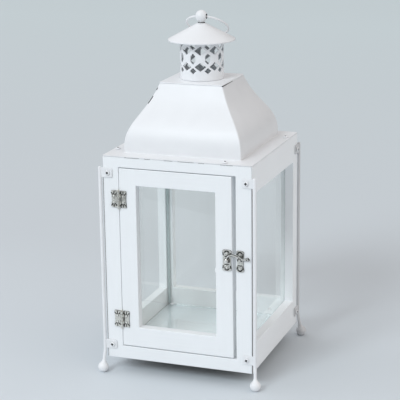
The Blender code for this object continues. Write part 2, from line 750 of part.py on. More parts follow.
def make_hinges(pivot, nail):
    """Two butt hinges, each of two leaves and a pin, with their nails."""
    frame_leaf = hinge_leaf_mesh(-1, 0)
    door_leaf = hinge_leaf_mesh(1, 1)
    pin = hinge_pin_mesh()
    nail_y = -HALF_BODY - GAP - HINGE_SHEET - GAP
    for level, middle in HINGE_MIDDLES.items():
        place = (HINGE_X, HINGE_Y, middle)
        name = level + "_hinge"
        add_part(name + "_frame_leaf", frame_leaf.copy(), bare_metal(name + "_frame_leaf"), place)
        add_part(
            name + "_door_leaf", door_leaf.copy(), bare_metal(name + "_door_leaf"), place, parent=pivot
        )
        add_part(name + "_pin", pin.copy(), bare_metal(name + "_pin"), place)
        for end, rise in (("top", HINGE_NAIL_SPREAD), ("bottom", -HINGE_NAIL_SPREAD)):
            for leaf, side, carrier in (("frame", -1, None), ("door", 1, pivot)):
                seat = (HINGE_X + side * HINGE_NAIL_OFFSET, nail_y, middle + rise)
                nail_name = f"{name}_{leaf}_nail_{end}"
                drive(nail_name, nail.copy(), bare_metal(nail_name), seat, (0, -1, 0), carrier)


# Clasp

def lobed_outline(width, height):
    """A plate outline with hollow sides and crowned ends."""
    x = width / 2
    z = height / 2
    corner = z - CLASP_CREST
    handle = CLASP_EDGE_HANDLE
    right = bezier((x, -corner), handle, Vector((handle.x, -handle.y)), (x, corner), 5)
    top = bezier((x, corner), Vector((-0.1 * x, CLASP_CREST)), Vector((0.6 * x, 0)), (0, z), 4)
    half = right + top[1:]
    turned_half = [-point for point in half]
    top_left = [Vector((-point.x, point.y)) for point in reversed(top[1:-1])]
    bottom_right = [-point for point in top_left]
    return half + top_left + turned_half + bottom_right


def pierced_plate(width, extra_holes):
    """A clasp plate with a fan of slots round each of its two nails and a level slot inside each."""
    holes = list(extra_holes)
    for end in (-1, 1):
        nail = Vector((0, end * CLASP_NAIL_SPREAD))
        bar_end = Vector((CLASP_BAR_SLOT_REACH, end * CLASP_BAR_SLOT_RISE))
        holes += fan_of_slots(nail, end, CLASP_FAN_ANGLES, CLASP_FAN_END)
        holes.append(circle(nail, NAIL_RADIUS + HOLE_CLEARANCE, TINY_STEPS))
        holes.append(slot((-bar_end.x, bar_end.y), bar_end, FAN_SLOT_RADIUS))
    return plate_mesh([lobed_outline(width, CLASP_PLATE_HEIGHT)] + holes, CLASP_SHEET)


def ribbon_outline(points, half_widths):
    """An outline that follows points at a changing width, with round ends."""
    left = []
    right = []
    for index, point in enumerate(points):
        before = points[max(index - 1, 0)]
        after = points[min(index + 1, len(points) - 1)]
        ahead = (after - before).normalized()
        across = Vector((-ahead.y, ahead.x)) * half_widths[index]
        left.append(point + across)
        right.append(point - across)
    end_cap = round_end(points[-1], right[-1], half_widths[-1])
    start_cap = round_end(points[0], left[0], half_widths[0])
    return right + end_cap + list(reversed(left)) + start_cap


def round_end(centre, first, radius):
    """The half circle that closes a ribbon, without its two end points."""
    heading = math.degrees(math.atan2(first.y - centre.y, first.x - centre.x))
    return arc(centre, radius, heading, heading + 180, 6)[1:-1]


def hook_mesh():
    """The swing hook: an eye, an arched band, a lobe over the stud and a knob, in one sheet."""
    eye = Vector((0, 0))
    lobe = Vector((HOOK_REACH, STUD_RISE + HOOK_LOBE_LIFT))
    knob = Vector((HOOK_REACH + HOOK_OVERREACH, HOOK_KNOB_RISE))
    arch = bezier(eye, HOOK_EYE_HANDLE, HOOK_LOBE_HANDLE, lobe, 18)
    points = arch + bezier(lobe, HOOK_NECK_HANDLE, HOOK_KNOB_HANDLE, knob, 9)[1:]
    discs = ((eye, HOOK_EYE_RADIUS), (lobe, HOOK_LOBE_RADIUS), (knob, HOOK_KNOB_RADIUS))
    half_widths = []
    for point in points:
        half_width = HOOK_BAND / 2
        for centre, radius in discs:
            inside = radius**2 - (point - centre).length_squared
            half_width = max(half_width, math.sqrt(max(inside, 0)))
        half_widths.append(half_width)
    hole = circle(eye, PIVOT_RADIUS + HOLE_CLEARANCE)
    sheet = plate_mesh([ribbon_outline(points, half_widths), hole], HOOK_SHEET)
    hook = bpy.data.objects.new("hook", sheet)
    cutters.objects.link(hook)
    notch_end = (HOOK_REACH, -2 * HOOK_LOBE_RADIUS)
    notch = slot((HOOK_REACH, STUD_RISE), notch_end, STUD_RADIUS + GAP)
    cut(hook, plate_mesh([notch], HOOK_SHEET + CUT_OVERRUN))
    return baked(hook)


def rivet_mesh():
    """The hook's pivot, head up, with the shoulder that spaces the hook off its plate."""
    shoulder_top = -HOOK_SHEET - 2 * GAP
    plate_front = shoulder_top - (PLATE_FRONT - HOOK_BACK) + 2 * GAP
    tip = plate_front - GAP - CLASP_SHEET - GAP - PIVOT_DEPTH + 2 * GAP
    profile = [
        (0, PIVOT_HEAD_HEIGHT),
        (PIVOT_HEAD_RADIUS * 0.7, PIVOT_HEAD_HEIGHT * 0.8),
        (PIVOT_HEAD_RADIUS, 0),
        (PIVOT_RADIUS, 0),
        (PIVOT_RADIUS, shoulder_top),
        (PIVOT_SHOULDER_RADIUS, shoulder_top),
        (PIVOT_SHOULDER_RADIUS, plate_front),
        (PIVOT_RADIUS, plate_front),
        (PIVOT_RADIUS, tip),
        (0, tip),
    ]
    return smooth(turned_mesh(profile, SMALL_STEPS))


def stud_mesh():
    """The catch plate's stud, rooted in the middle of its sheet and pointing to -Y."""
    length = PLATE_FRONT - HOOK_FRONT + STUD_PROUD
    root = -CLASP_SHEET / 2
    profile = [
        (0, length),
        (STUD_RADIUS * 0.6, length),
        (STUD_RADIUS, length - STUD_CHAMFER),
        (STUD_RADIUS, root),
        (0, root),
    ]
    mesh = turned_mesh(profile, SMALL_STEPS)
    facing = Matrix.Rotation(math.radians(90), 4, "X") @ Matrix.Rotation(math.radians(5), 4, "Z")
    mesh.transform(Matrix.Translation((0, root, STUD_RISE)) @ facing)
    return mesh


def make_clasp(door_pivot, nail):
    """The clasp plates, the hook on its rivet, the stud and the nails."""
    plate_y = PLATE_FRONT + CLASP_SHEET / 2
    door_place = (CLASP_PLATE_X, plate_y, CLASP_MIDDLE)
    catch_place = (CATCH_PLATE_X, plate_y, CLASP_MIDDLE)
    eye = circle((0, 0), PIVOT_RADIUS + HOLE_CLEARANCE)
    door_plate = pierced_plate(CLASP_PLATE_WIDTH, [eye])
    metal = bare_metal("clasp_door_plate")
    add_part("clasp_door_plate", door_plate, metal, door_place, parent=door_pivot)
    catch_plate = pierced_plate(CATCH_PLATE_WIDTH, [])
    catch = add_part("clasp_catch_plate", catch_plate, bare_metal("clasp_catch_plate"), catch_place)
    unite(catch, stud_mesh())
    hook_place = (CLASP_PLATE_X, HOOK_FRONT + HOOK_SHEET / 2, CLASP_MIDDLE)
    hook_pivot = add_pivot("hook_pivot", hook_place, door_pivot)
    add_part("clasp_hook", hook_mesh(), bare_metal("clasp_hook"), hook_place, parent=hook_pivot)
    rivet_seat = (CLASP_PLATE_X, HOOK_FRONT - GAP, CLASP_MIDDLE)
    drive("clasp_rivet", rivet_mesh(), bare_metal("clasp_rivet"), rivet_seat, (0, -1, 0), door_pivot)
    for plate, x, carrier in (("door", CLASP_PLATE_X, door_pivot), ("catch", CATCH_PLATE_X, None)):
        for end, rise in (("top", CLASP_NAIL_SPREAD), ("bottom", -CLASP_NAIL_SPREAD)):
            name = f"clasp_{plate}_nail_{end}"
            seat = (x, PLATE_FRONT - GAP, CLASP_MIDDLE + rise)
            drive(name, nail.copy(), bare_metal(name), seat, (0, -1, 0), carrier)


# Corner rods

def foot_mesh(centre, axis):
    """A teardrop foot whose ball is at a point and whose neck points along an axis."""
    ball = []
    for step in range(BALL_STEPS + 1):
        angle = math.radians(FOOT_NECK_ANGLE + (180 - FOOT_NECK_ANGLE) * step / BALL_STEPS)
        ball.append((FOOT_RADIUS * math.sin(angle), FOOT_RADIUS * math.cos(angle)))
    ball[-1] = (0, -FOOT_RADIUS)
    neck = bezier((ROD_RADIUS, FOOT_NECK_RISE), NECK_UPPER_HANDLE, NECK_LOWER_HANDLE, ball[0], 4)
    profile = [(0, FOOT_NECK_RISE)] + [tuple(point) for point in neck[:-1]] + ball
    mesh = turned_mesh(profile, SMALL_STEPS)
    turn = Vector((0, 0, 1)).rotation_difference(axis).to_matrix().to_4x4()
    mesh.transform(Matrix.Translation(centre) @ turn)
    return mesh


def tab_mesh(side, height):
    """A flattened tab beside the rod, with its screw hole, at a height."""
    half = TAB_HEIGHT / 2
    corner = TAB_CORNER_RADIUS
    outline = [Vector((ROD_STANDOFF + ROD_RADIUS, -half)), Vector((ROD_STANDOFF + ROD_RADIUS, half))]
    outline += arc((-TAB_REACH + corner, half - corner), corner, 90, 180, 3)
    outline += arc((-TAB_REACH + corner, -half + corner), corner, 180, 270, 3)
    hole = circle((-TAB_SCREW_INSET, 0), SCREW_RADIUS + HOLE_CLEARANCE, TINY_STEPS)
    mesh = plate_mesh([outline, hole], TAB_THICKNESS)
    if side < 0:
        mesh.transform(Matrix.Scale(-1, 4, (1, 0, 0)))
        mesh.flip_normals()
    mesh.transform(Matrix.Translation((0, -GAP - TAB_THICKNESS / 2, height)))
    return mesh


def corner_rod_mesh(side):
    """A rod for a front corner, its origin on the ground below the corner."""
    axis_x = side * (ROD_STANDOFF + ROD_RADIUS)
    axis_y = -GAP - TAB_THICKNESS / 2
    top = FRAME_TOP - ROD_TOP_DROP
    bend = BODY_LIFT + LOWER_TAB_RISE - ROD_BEND_DROP
    foot = Vector((side * FOOT_OFFSET, -FOOT_OFFSET, FOOT_RADIUS - FOOT_FLAT_DEPTH))
    bend_point = Vector((axis_x, axis_y, bend))
    lean = (bend_point - foot).normalized()
    straight = Vector((0, 0, 1))
    above = bend_point + straight * ROD_BEND_REACH
    below = bend_point - lean * ROD_BEND_REACH
    handle = 0.75 * ROD_BEND_REACH
    curve = bezier(above, straight * -handle, lean * handle, below, 3)
    points = [Vector((axis_x, axis_y, top)), Vector((axis_x, axis_y, top - ROD_END_TAPER))]
    points += curve + [foot + lean * FOOT_NECK_RISE * 0.6]
    rod = bpy.data.objects.new("rod", wire_mesh(points, ROD_RADIUS, 0.6))
    cutters.objects.link(rod)
    unite(rod, foot_mesh(foot, lean))
    for height in tab_heights():
        unite(rod, tab_mesh(side, BODY_LIFT + height))
    reach = 2 * FOOT_RADIUS
    ground = box_mesh(foot - Vector((reach, reach, reach)), (foot.x + reach, foot.y + reach, 0))
    cut(rod, ground)
    return smooth(baked(rod))


def make_rods(screw):
    """The four corner rods and the screws through their tabs."""
    corners = [
        ("front_left", -1, (-HALF_BODY, -HALF_BODY, 0), 0),
        ("front_right", 1, (HALF_BODY, -HALF_BODY, 0), 0),
        ("rear_right", 1, (HALF_BODY, HALF_BODY, 0), 90),
        ("rear_left", -1, (-HALF_BODY, HALF_BODY, 0), -90),
    ]
    for name, side, place, degrees in corners:
        turn = math.radians(degrees)
        add_part(name + "_rod", corner_rod_mesh(side), painted(name + "_rod"), place, turn)
        heading = Matrix.Rotation(turn, 3, "Z")
        for level, height in zip(("lower", "upper"), tab_heights()):
            inset = heading @ Vector((-side * TAB_SCREW_INSET, -TAB_FRONT - GAP, BODY_LIFT + height))
            screw_name = f"{name}_{level}_screw"
            outward = heading @ Vector((0, -1, 0))
            drive(screw_name, screw.copy(), painted(screw_name), Vector(place) + inset, outward)


# Roof

def rounded_square(half, radius, steps=4):
    points = []
    for quarter, (x, y) in enumerate(((1, 1), (-1, 1), (-1, -1), (1, -1))):
        centre = (x * (half - radius), y * (half - radius))
        points += arc(centre, radius, 90 * quarter, 90 * quarter + 90, steps)
    return points


def square_turned(profile):
    """Four flat-sided faces swept from half widths and heights, top to bottom."""
    corner = math.sqrt(2)
    piece = turned([(half * corner, height) for half, height in profile], 4)
    return piece


def roof_screw_places():
    """Where the roof screws stand, in plan."""
    first = Vector((ROOF_SCREW_OFFSET, -HALF_BODY + FRAME_THICKNESS / 2, 0))
    return [Matrix.Rotation(math.radians(90 * quarter), 3, "Z") @ first for quarter in range(4)]


def make_roof(screw):
    """The roof shell with its flange, the top plate and the roof screws."""
    base = Vector((ROOF_BASE_HALF, 0))
    top = Vector((ROOF_TOP_HALF, ROOF_RISE))
    slope = bezier(top, ROOF_UPPER_HANDLE, ROOF_LOWER_HANDLE, base, ROOF_STEPS)
    profile = [(ROOF_TOP_HALF - ROOF_LIP, ROOF_RISE)]
    profile += [tuple(point) for point in slope]
    profile.append((HALF_BODY + CUT_OVERRUN, 0))
    shell = square_turned(profile)
    add_thickness(shell, SHEET)
    mesh = baked(shell)
    mesh.transform(Matrix.Rotation(math.radians(45), 4, "Z"))
    roof = add_part("roof_shell", mesh, painted("roof_shell"), (0, 0, FLANGE_TOP))
    trim = plate_mesh([rounded_square(HALF_BODY, FLANGE_CORNER_RADIUS)], 4 * ROOF_RISE, upright=False)
    combine(roof, trim, "INTERSECT")
    holes = []
    for place in roof_screw_places():
        holes.append((place, (0, 0, -1), SHEET + CUT_OVERRUN, SCREW_RADIUS + HOLE_CLEARANCE))
    cut(roof, holes_mesh(holes))
    for name, place in zip(("front", "right", "back", "left"), roof_screw_places()):
        seat = place + Vector((0, 0, FLANGE_TOP + GAP))
        screw_name = f"roof_{name}_screw"
        drive(screw_name, screw.copy(), painted(screw_name), seat, (0, 0, 1))
    plate = plate_mesh(
        [
            rounded_square(ROOF_TOP_HALF, TOP_PLATE_CORNER_RADIUS, 3),
            circle((0, 0), COLLAR_RADIUS - SHEET - VENT_BORE_LEDGE, ROUND_STEPS),
        ],
        SHEET,
        upright=False,
    )
    add_part("roof_top_plate", plate, painted("roof_top_plate"), (0, 0, TOP_PLATE_BOTTOM + SHEET / 2))


def radial_prism(shape, angle, height, width, tall, sides):
    """Adds a prism that cuts a pointed opening through the collar's wall."""
    reach = COLLAR_RADIUS + CUT_OVERRUN
    inner = COLLAR_RADIUS - SHEET - 2 * CUT_OVERRUN
    outward = Matrix.Rotation(math.radians(angle), 4, "Z") @ Matrix.Rotation(math.radians(90), 4, "Y")
    lengthwise = Matrix.Rotation(math.radians(90), 4, "Z")
    flat_width = width / 2 / math.sin(math.pi * 2 * (sides // 4) / sides)
    size = Matrix.Diagonal((flat_width, tall / 2, 1, 1))
    middle = Matrix.Translation(outward @ Vector((0, 0, (reach + inner) / 2)) + Vector((0, 0, height)))
    bmesh.ops.create_cone(
        shape,
        cap_ends=True,
        segments=sides,
        radius1=1,
        radius2=1,
        depth=reach - inner,
        matrix=middle @ outward @ lengthwise @ size,
    )


def vent_cutters():
    """All the openings of the collar's pattern, about its middle height."""
    shape = bmesh.new()
    pitch = 360 / VENT_COLUMNS
    for column in range(VENT_COLUMNS):
        narrow = VENT_FIRST_ANGLE + column * pitch
        wide = narrow + pitch / 2
        radial_prism(shape, narrow, 0, VENT_SLOT_WIDTH, VENT_SLOT_HEIGHT, 6)
        for side in (-1, 1):
            radial_prism(shape, narrow, side * VENT_SMALL_OFFSET, VENT_SMALL_WIDTH, VENT_SMALL_HEIGHT, 4)
            radial_prism(shape, wide, side * VENT_BIG_OFFSET, VENT_BIG_WIDTH, VENT_BIG_HEIGHT, 4)
    return mesh_of(shape)


def make_vent():
    """The pierced collar."""
    half = COLLAR_HEIGHT / 2
    inner = COLLAR_RADIUS - SHEET
    wall = [(COLLAR_RADIUS, half), (COLLAR_RADIUS, -half), (inner, -half), (inner, half)]
    mesh = smooth(turned_mesh(wall, COLLAR_STEPS, closed=True))
    collar = add_part("vent_collar", mesh, painted("vent_collar"), (0, 0, COLLAR_BOTTOM + half))
    cut(collar, vent_cutters())


def make_cap():
    """The conical cap."""
    bore = FINIAL_STEM_RADIUS + HOLE_CLEARANCE
    profile = [(bore, CAP_RISE), (CAP_CROWN_RADIUS, CAP_RISE), (CAP_RADIUS, 0), (CAP_RADIUS, -CAP_LIP)]
    cap = turned(profile, FINE_STEPS)
    add_thickness(cap, SHEET)
    add_part("cap", smooth(baked(cap)), painted("cap"), (0, 0, CAP_RIM))


def make_finial():
    """The ball finial, whose stem is nutted under the cap."""
    foot = -FINIAL_FOOT_RISE + GAP
    nut_top = -FINIAL_FOOT_RISE - SHEET - GAP
    tip = nut_top - NUT_HEIGHT - STEM_PAST_NUT
    foot_angle = math.degrees(math.asin(FINIAL_FOOT_RADIUS / FINIAL_RADIUS))
    ball = [(point.x, point.y) for point in arc((0, 0), FINIAL_RADIUS, 90, foot_angle - 90, 11)]
    ball[0] = (0, FINIAL_RADIUS)
    stem = [(FINIAL_FOOT_RADIUS, foot), (FINIAL_STEM_RADIUS, foot), (FINIAL_STEM_RADIUS, tip), (0, tip)]
    mesh = smooth(turned_mesh(ball + stem, ROUND_STEPS))
    finial = add_part("finial", mesh, painted("finial"), (0, 0, FINIAL_MIDDLE))
    cross_start = (-FINIAL_RADIUS, 0, 0)
    cross_depth = 2 * FINIAL_RADIUS + CUT_OVERRUN
    cross_hole = (cross_start, (1, 0, 0), cross_depth, ring_hole_radius())
    cut(finial, holes_mesh([cross_hole], SMALL_STEPS))
    corner = NUT_ACROSS_FLATS / math.sqrt(3)
    outline = [circle((0, 0), corner, 6), circle((0, 0), FINIAL_STEM_RADIUS + HOLE_CLEARANCE)]
    nut = plate_mesh(outline, NUT_HEIGHT, upright=False)
    add_part("finial_nut", nut, bare_metal("finial_nut"), (0, 0, FINIAL_MIDDLE + nut_top - NUT_HEIGHT / 2))


# Carrying ring

def ring_hole_radius():
    """The finial's cross hole, wide enough for the curved wire."""
    bow = RING_RADIUS - math.sqrt(RING_RADIUS**2 - FINIAL_RADIUS**2)
    return bow + RING_WIRE_RADIUS + RING_PLAY


def ring_clearance(tilt):
    """Least distance from the ring's wire to the cap, with the ring tilted down by an angle."""
    crown = Vector((CAP_CROWN_RADIUS, CAP_CROWN))
    rim = Vector((CAP_RADIUS, CAP_RIM))
    span = rim - crown
    least = CAP_RADIUS
    for step in range(181):
        angle = math.radians(step)
        reach = RING_RADIUS * (1 - math.cos(angle))
        x = RING_RADIUS * math.sin(angle)
        y = reach * math.cos(tilt)
        point = Vector((math.hypot(x, y), FINIAL_MIDDLE - reach * math.sin(tilt)))
        along = min(max((point - crown).dot(span) / span.length_squared, 0), 1)
        least = min(least, (point - crown - span * along).length)
    return least - RING_WIRE_RADIUS


def ring_rest_tilt():
    """The tilt at which the ring comes down on the cap, in radians."""
    high = 0.0
    low = math.radians(80)
    for _ in range(40):
        middle = (high + low) / 2
        if ring_clearance(middle) > GAP:
            high = middle
        else:
            low = middle
    return high


def make_ring():
    """The carrying ring, which turns about the finial's cross hole and lies back on the cap."""
    bpy.ops.mesh.primitive_torus_add(
        major_radius=RING_RADIUS,
        minor_radius=RING_WIRE_RADIUS,
        major_segments=FINE_STEPS,
        minor_segments=TINY_STEPS,
    )
    torus = bpy.context.object
    mesh = torus.data
    bpy.data.objects.remove(torus, do_unlink=True)
    mesh.transform(Matrix.Translation((0, RING_RADIUS, 0)))
    pivot = add_pivot("ring_pivot", (0, 0, FINIAL_MIDDLE))
    paint = painted("carry_ring")
    ring = add_part("carry_ring", smooth(mesh, 60), paint, (0, 0, FINIAL_MIDDLE), parent=pivot)
    ring.rotation_euler = (-ring_rest_tilt(), 0, 0)


def main():
    reset_scene()
    screw = screw_mesh()
    nail = nail_mesh()
    make_body()
    make_floor()
    make_panes()
    door_pivot = add_pivot("door_pivot", (HINGE_X, HINGE_Y, 0))
    make_door(door_pivot)
    make_hinges(door_pivot, nail)
    make_clasp(door_pivot, nail)
    make_rods(screw)
    make_roof(screw)
    make_vent()
    make_cap()
    make_finial()
    make_ring()


main()
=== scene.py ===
# Looks of the square white candle lantern: paint, glass, nickel hardware, studio floor and light.
#
# Units are metres, in the CAD's frame: +Z up, the door faces -Y, the origin on the ground.

import math

import bmesh
import bpy
from mathutils import Matrix, Vector
from mathutils.geometry import interpolate_bezier


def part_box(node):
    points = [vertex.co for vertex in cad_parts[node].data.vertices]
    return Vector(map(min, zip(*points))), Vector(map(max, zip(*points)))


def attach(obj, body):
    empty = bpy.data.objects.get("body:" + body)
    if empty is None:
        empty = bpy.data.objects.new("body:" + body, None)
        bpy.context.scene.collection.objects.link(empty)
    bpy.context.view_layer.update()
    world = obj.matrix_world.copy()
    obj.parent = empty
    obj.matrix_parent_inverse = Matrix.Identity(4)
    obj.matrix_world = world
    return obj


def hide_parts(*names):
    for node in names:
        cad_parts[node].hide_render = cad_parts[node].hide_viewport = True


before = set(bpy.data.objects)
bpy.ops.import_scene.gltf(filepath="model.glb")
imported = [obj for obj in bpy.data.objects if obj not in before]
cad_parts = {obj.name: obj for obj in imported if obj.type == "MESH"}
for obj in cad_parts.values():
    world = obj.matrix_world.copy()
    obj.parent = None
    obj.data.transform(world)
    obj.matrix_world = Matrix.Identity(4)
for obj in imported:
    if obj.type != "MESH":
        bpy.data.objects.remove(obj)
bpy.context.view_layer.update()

MM = 0.001
WELD = 0.001 * MM  # points closer than this are one
scene = bpy.context.scene


def mm(*lengths):
    """Lengths given in millimetres, as a tuple."""
    return tuple(length * MM for length in lengths)


def rotation(degrees, axis="Z"):
    return Matrix.Rotation(math.radians(degrees), 3, axis)


# Camera, solved from the photograph's 400 by 400 pixels
IMAGE_SIZE = 400
FOCAL_PIXELS = 1401.9
CAMERA_TARGET = Vector(mm(-4.07, 0, 172.7))
CAMERA_DISTANCE = 1490 * MM
CAMERA_YAW = 20.16  # degrees
CAMERA_PITCH = 15.40
CAMERA_ROLL = -0.73
SENSOR = 36.0  # millimetres

# Studio
FLOOR_RADIUS = 6.0
FLOOR_COLOUR = (0.593, 0.636, 0.668)
FLOOR_FAR_LIT_COLOUR = (0.640, 0.725, 0.750)  # painted light: the paper far behind the lantern, lighter and bluer
FLOOR_NEAR_LIGHT_SHARE = 1.09  # painted light: brighter in front of it too
BACKDROP_SHARE = 0.90  # brightness of the backdrop past the floor's rim
AMBIENT_LEFT = (0.99, 1.00, 1.04)
AMBIENT_RIGHT = (0.98, 0.93, 0.90)
AMBIENT_BASE = 0.24
AMBIENT_SIDES = 1.12  # more from either side
AMBIENT_TOP = 0.22  # and from above
AMBIENT_LOW = 0.10  # share left at the horizon
KEY_COLOUR = (0.92, 1.00, 1.05)
KEY_POWER = 145.0
KEY_DISTANCE = 6.0
KEY_HEIGHT = 0.15  # of the point that it faces
KEY_AZIMUTH = -17.0  # degrees from straight in front, to the left
KEY_ELEVATION = 36.0
KEY_SIZE = 2.0
CARD_COLOUR = (0.02, 0.025, 0.022)
CARD_CORNERS = ((-2120, -1566), (600, -281), (1000, -1400), (-1300, -3000))  # millimetres

# Sizes that the fine pieces share with the CAD model
GAP = 0.3 * MM
HOLE_CLEARANCE = 0.3 * MM
OVERCUT = 1 * MM  # how far a cutter reaches past what it cuts, and an inlay into what carries it
HALF_BODY = 80.0 * MM
BODY_LIFT = 16.2 * MM
FRAME_TOP = BODY_LIFT + 217.5 * MM
FRAME_THICKNESS = 9.5 * MM
FACING = rotation(90, "X")  # takes +Z to -Y, out of the front

# Softened edges, and inlaid tarnish and painted shade
PLATE_EDGE = 0.1 * MM  # of the hinge leaves, the clasp plates and the hook
SHEET_EDGE = 0.2 * MM  # of the top plate and the tabs
EDGE_ROUND = 0.6 * MM  # of the painted wood
INLAY = 0.03 * MM  # how proud the tarnish in the ornament stands
LAP = 0.02 * MM  # how far a bright face sinks into its tarnished backing
TARNISHED_RIM = 0.2 * MM
FACE_SHARE = 0.6  # of a plate's thickness, above its tarnished backing

# Wooden frames
FRAME_LOOKS = {  # axis of the rails, where the stiles begin along it, and tone; a tone above 1 is painted light, a brighter copy of the paint for frames the lamps reach less
    "front_frame": (0, 63.0 * MM, 1.0),
    "back_frame": (0, 63.0 * MM, 1.05),
    "left_frame": (1, 65.0 * MM, 1.05),
    "right_frame": (1, 65.0 * MM, 1.05),
    "door_frame": (0, 43.0 * MM, 1.0),
    "floor_board": (0, 1.0, 1.05),
}
# width of the painted shade in the front corners' mitres
CORNER_SHADE_WIDTH = 0.45 * MM
CORNER_REACH = 1 * MM  # takes in the door's rounded corner
DOOR_DRAFT = 1.3 * MM  # how far the door's free edge slants

# Roof, vent and ring
SHEET = 0.9 * MM
ROOF_BASE_HALF = 62.8 * MM
ROOF_TOP_HALF = 34.2 * MM
ROOF_RISE = 68.4 * MM
ROOF_UPPER_HANDLE = mm(11.0, -32.0)
ROOF_LOWER_HANDLE = mm(3.0, 30.0)
ROOF_STEPS = 40
ROOF_LIP = 7.0 * MM
ROOF_RIDGE = 1.1 * MM  # radius of the ridges and of the folds
ROOF_FOLD = 1.0 * MM
FLANGE_CORNER = 2.5 * MM
FLANGE_TOP = FRAME_TOP + GAP + SHEET
FLANGE_SHADE_STRIPS = ((-56, -40), (-34, -28), (-13, -4), (2, 19), (24, 30), (47, 60))  # painted shade in the gap under the flange's front, ends in mm along X
SHADE_STRIP_HEIGHTS = mm(0.02, 0.30)  # above the frames
SHADE_STRIP_DEPTHS = mm(-0.05, 2)  # behind their front
RIDGE_CHIPS = ((2, 3), (6, 8), (8, 10))  # steps down the left front ridge
RIDGE_CHIP_WIDTH = 1.3 * MM
RIDGE_CUT = 0.29  # how far rounding takes a ridge back, as a share of its radius
TOP_PLATE_CORNER = 1.5 * MM
TOP_PLATE_BOTTOM = FLANGE_TOP + ROOF_RISE + GAP
RIGHT_SEAM_SHADE = mm(-34.0, -2.0, 1.0, 0.25, 0.3)  # painted shade in the right seam: both ends, heights there, and drop
SEAM_SHADE_PROUD = 0.15 * MM
COLLAR_RADIUS = 22.6 * MM
COLLAR_HEIGHT = 45.7 * MM
COLLAR_STEPS = 144
COLLAR_BOTTOM = TOP_PLATE_BOTTOM + SHEET + GAP
COLLAR_TOP = COLLAR_BOTTOM + COLLAR_HEIGHT
VENT_BORE_LEDGE = 1.6 * MM
VENT_COLUMNS = 9
VENT_FIRST_ANGLE = -94.3  # degrees from +X
VENT_BIG = mm(12.4, 9.2, 8.3)  # width, height, and rise from the collar's middle
VENT_SMALL = mm(7.4, 6.6, 12.4)
VENT_SLOT = mm(5.6, 11.4)
VENT_CORNER = 0.5 * MM
COLLAR_EDGE = 0.15 * MM
CAP_RADIUS = 34.8 * MM
CAP_CROWN_RADIUS = 4.0 * MM
CAP_RISE = 16.4 * MM
CAP_LIP = 1.3 * MM
CAP_SLOPE = CAP_RISE / (CAP_RADIUS - CAP_CROWN_RADIUS)
CAP_LIFT = (GAP + SHEET) * math.sqrt(1 + CAP_SLOPE**2)
CAP_RIM = COLLAR_TOP + CAP_LIFT - CAP_SLOPE * (CAP_RADIUS - COLLAR_RADIUS)
FINIAL_RADIUS = 6.2 * MM
FINIAL_FOOT_RADIUS = 3.2 * MM
FINIAL_FOOT_RISE = 6.9 * MM
FINIAL_STEM_RADIUS = 1.7 * MM
FINIAL_MIDDLE = Vector((0, 0, CAP_RIM + CAP_RISE + FINIAL_FOOT_RISE))
# width of the ring of painted shade at the finial's foot
FINIAL_FOOT_SHADE = 0.5 * MM
NUT_HEIGHT = 2.2 * MM
STEM_PAST_NUT = 0.8 * MM
RING_RADIUS = 22.0 * MM
RING_WIRE_RADIUS = 1.05 * MM
RING_TILT = 33.45  # degrees below level at rest
RING_HOLE_RADIUS = 2.64 * MM

# Rods and screws, with angles in degrees
ROD_RADIUS = 1.7 * MM
ROD_STANDOFF = 1.3 * MM
ROD_TOP_DROP = 10.7 * MM
ROD_END_DROPS = mm(0, 0.2, 0.5, 0.9)  # steps down from the rounded upper end
ROD_END_SHARES = [0.55, 0.8, 0.95, 1.0]  # and the share of the radius at each
ROD_BEND_DROP = 6.5 * MM
ROD_BEND_REACH = 2.0 * MM
ROD_BEND_HANDLE = 0.75 * ROD_BEND_REACH
TAB_THICKNESS = 1.0 * MM
TAB_HEIGHT = 9.8 * MM
TAB_REACH = 10.6 * MM
TAB_CORNER = 2.2 * MM
TAB_SCREW_INSET = 5.8 * MM
LOWER_TAB_RISE = 14.8 * MM
TAB_HEIGHTS = (BODY_LIFT + LOWER_TAB_RISE, FRAME_TOP - 16.6 * MM)
FOOT_OFFSET = 4.4 * MM
FOOT_RADIUS = 5.6 * MM
FOOT_FLAT_DEPTH = 0.3 * MM
FOOT_NECK_RISE = 9.5 * MM
FOOT_NECK_ANGLE = 48
SCREW_RADIUS = 1.3 * MM
SCREW_LENGTH = 4.6 * MM
SCREW_HEAD_RADIUS = 2.5 * MM
SCREW_HEAD_HEIGHT = 1.5 * MM
CROSS_WIDTH = 1.1 * MM
CROSS_SPAN = 2.8 * MM
CROSS_DEPTH = 0.8 * MM
ROOF_SCREW_OFFSET = 50.5 * MM
CORNERS = (  # name, side of the shape, corner, turn, and the chance turns of its two screws
    ("front_left", -1, (-1, -1), 0, (20, 50)),
    ("front_right", 1, (1, -1), 0, (35, 5)),
    ("rear_right", 1, (1, 1), 90, (80, 40)),
    ("rear_left", -1, (-1, 1), -90, (70, 15)),
)
ROOF_SCREWS = {"front": 30, "right": 10, "back": 65, "left": 25}  # their chance turns

# Sealant: body, place and half sizes of each dab, and the bead in the rear left corner
SEALANT_DABS = (
    ("sealant_door", "door", mm(38.2, -70.3, 120.5), mm(1.2, 0.6, 2.6)),
    ("sealant_floor", "lantern", mm(-62.5, 64.5, 28.2), mm(2.8, 1.6, 0.9)),
    ("sealant_right", "lantern", mm(70.4, 8.0, 56.0), mm(0.6, 1.3, 1.3)),
)
SEALANT_LUMPS = 0.18
BEAD = mm(66.2, 68.15, 27.3, 232.5)  # reach, corner, and both ends
BEAD_COLOUR = (0.42, 0.50, 0.50)

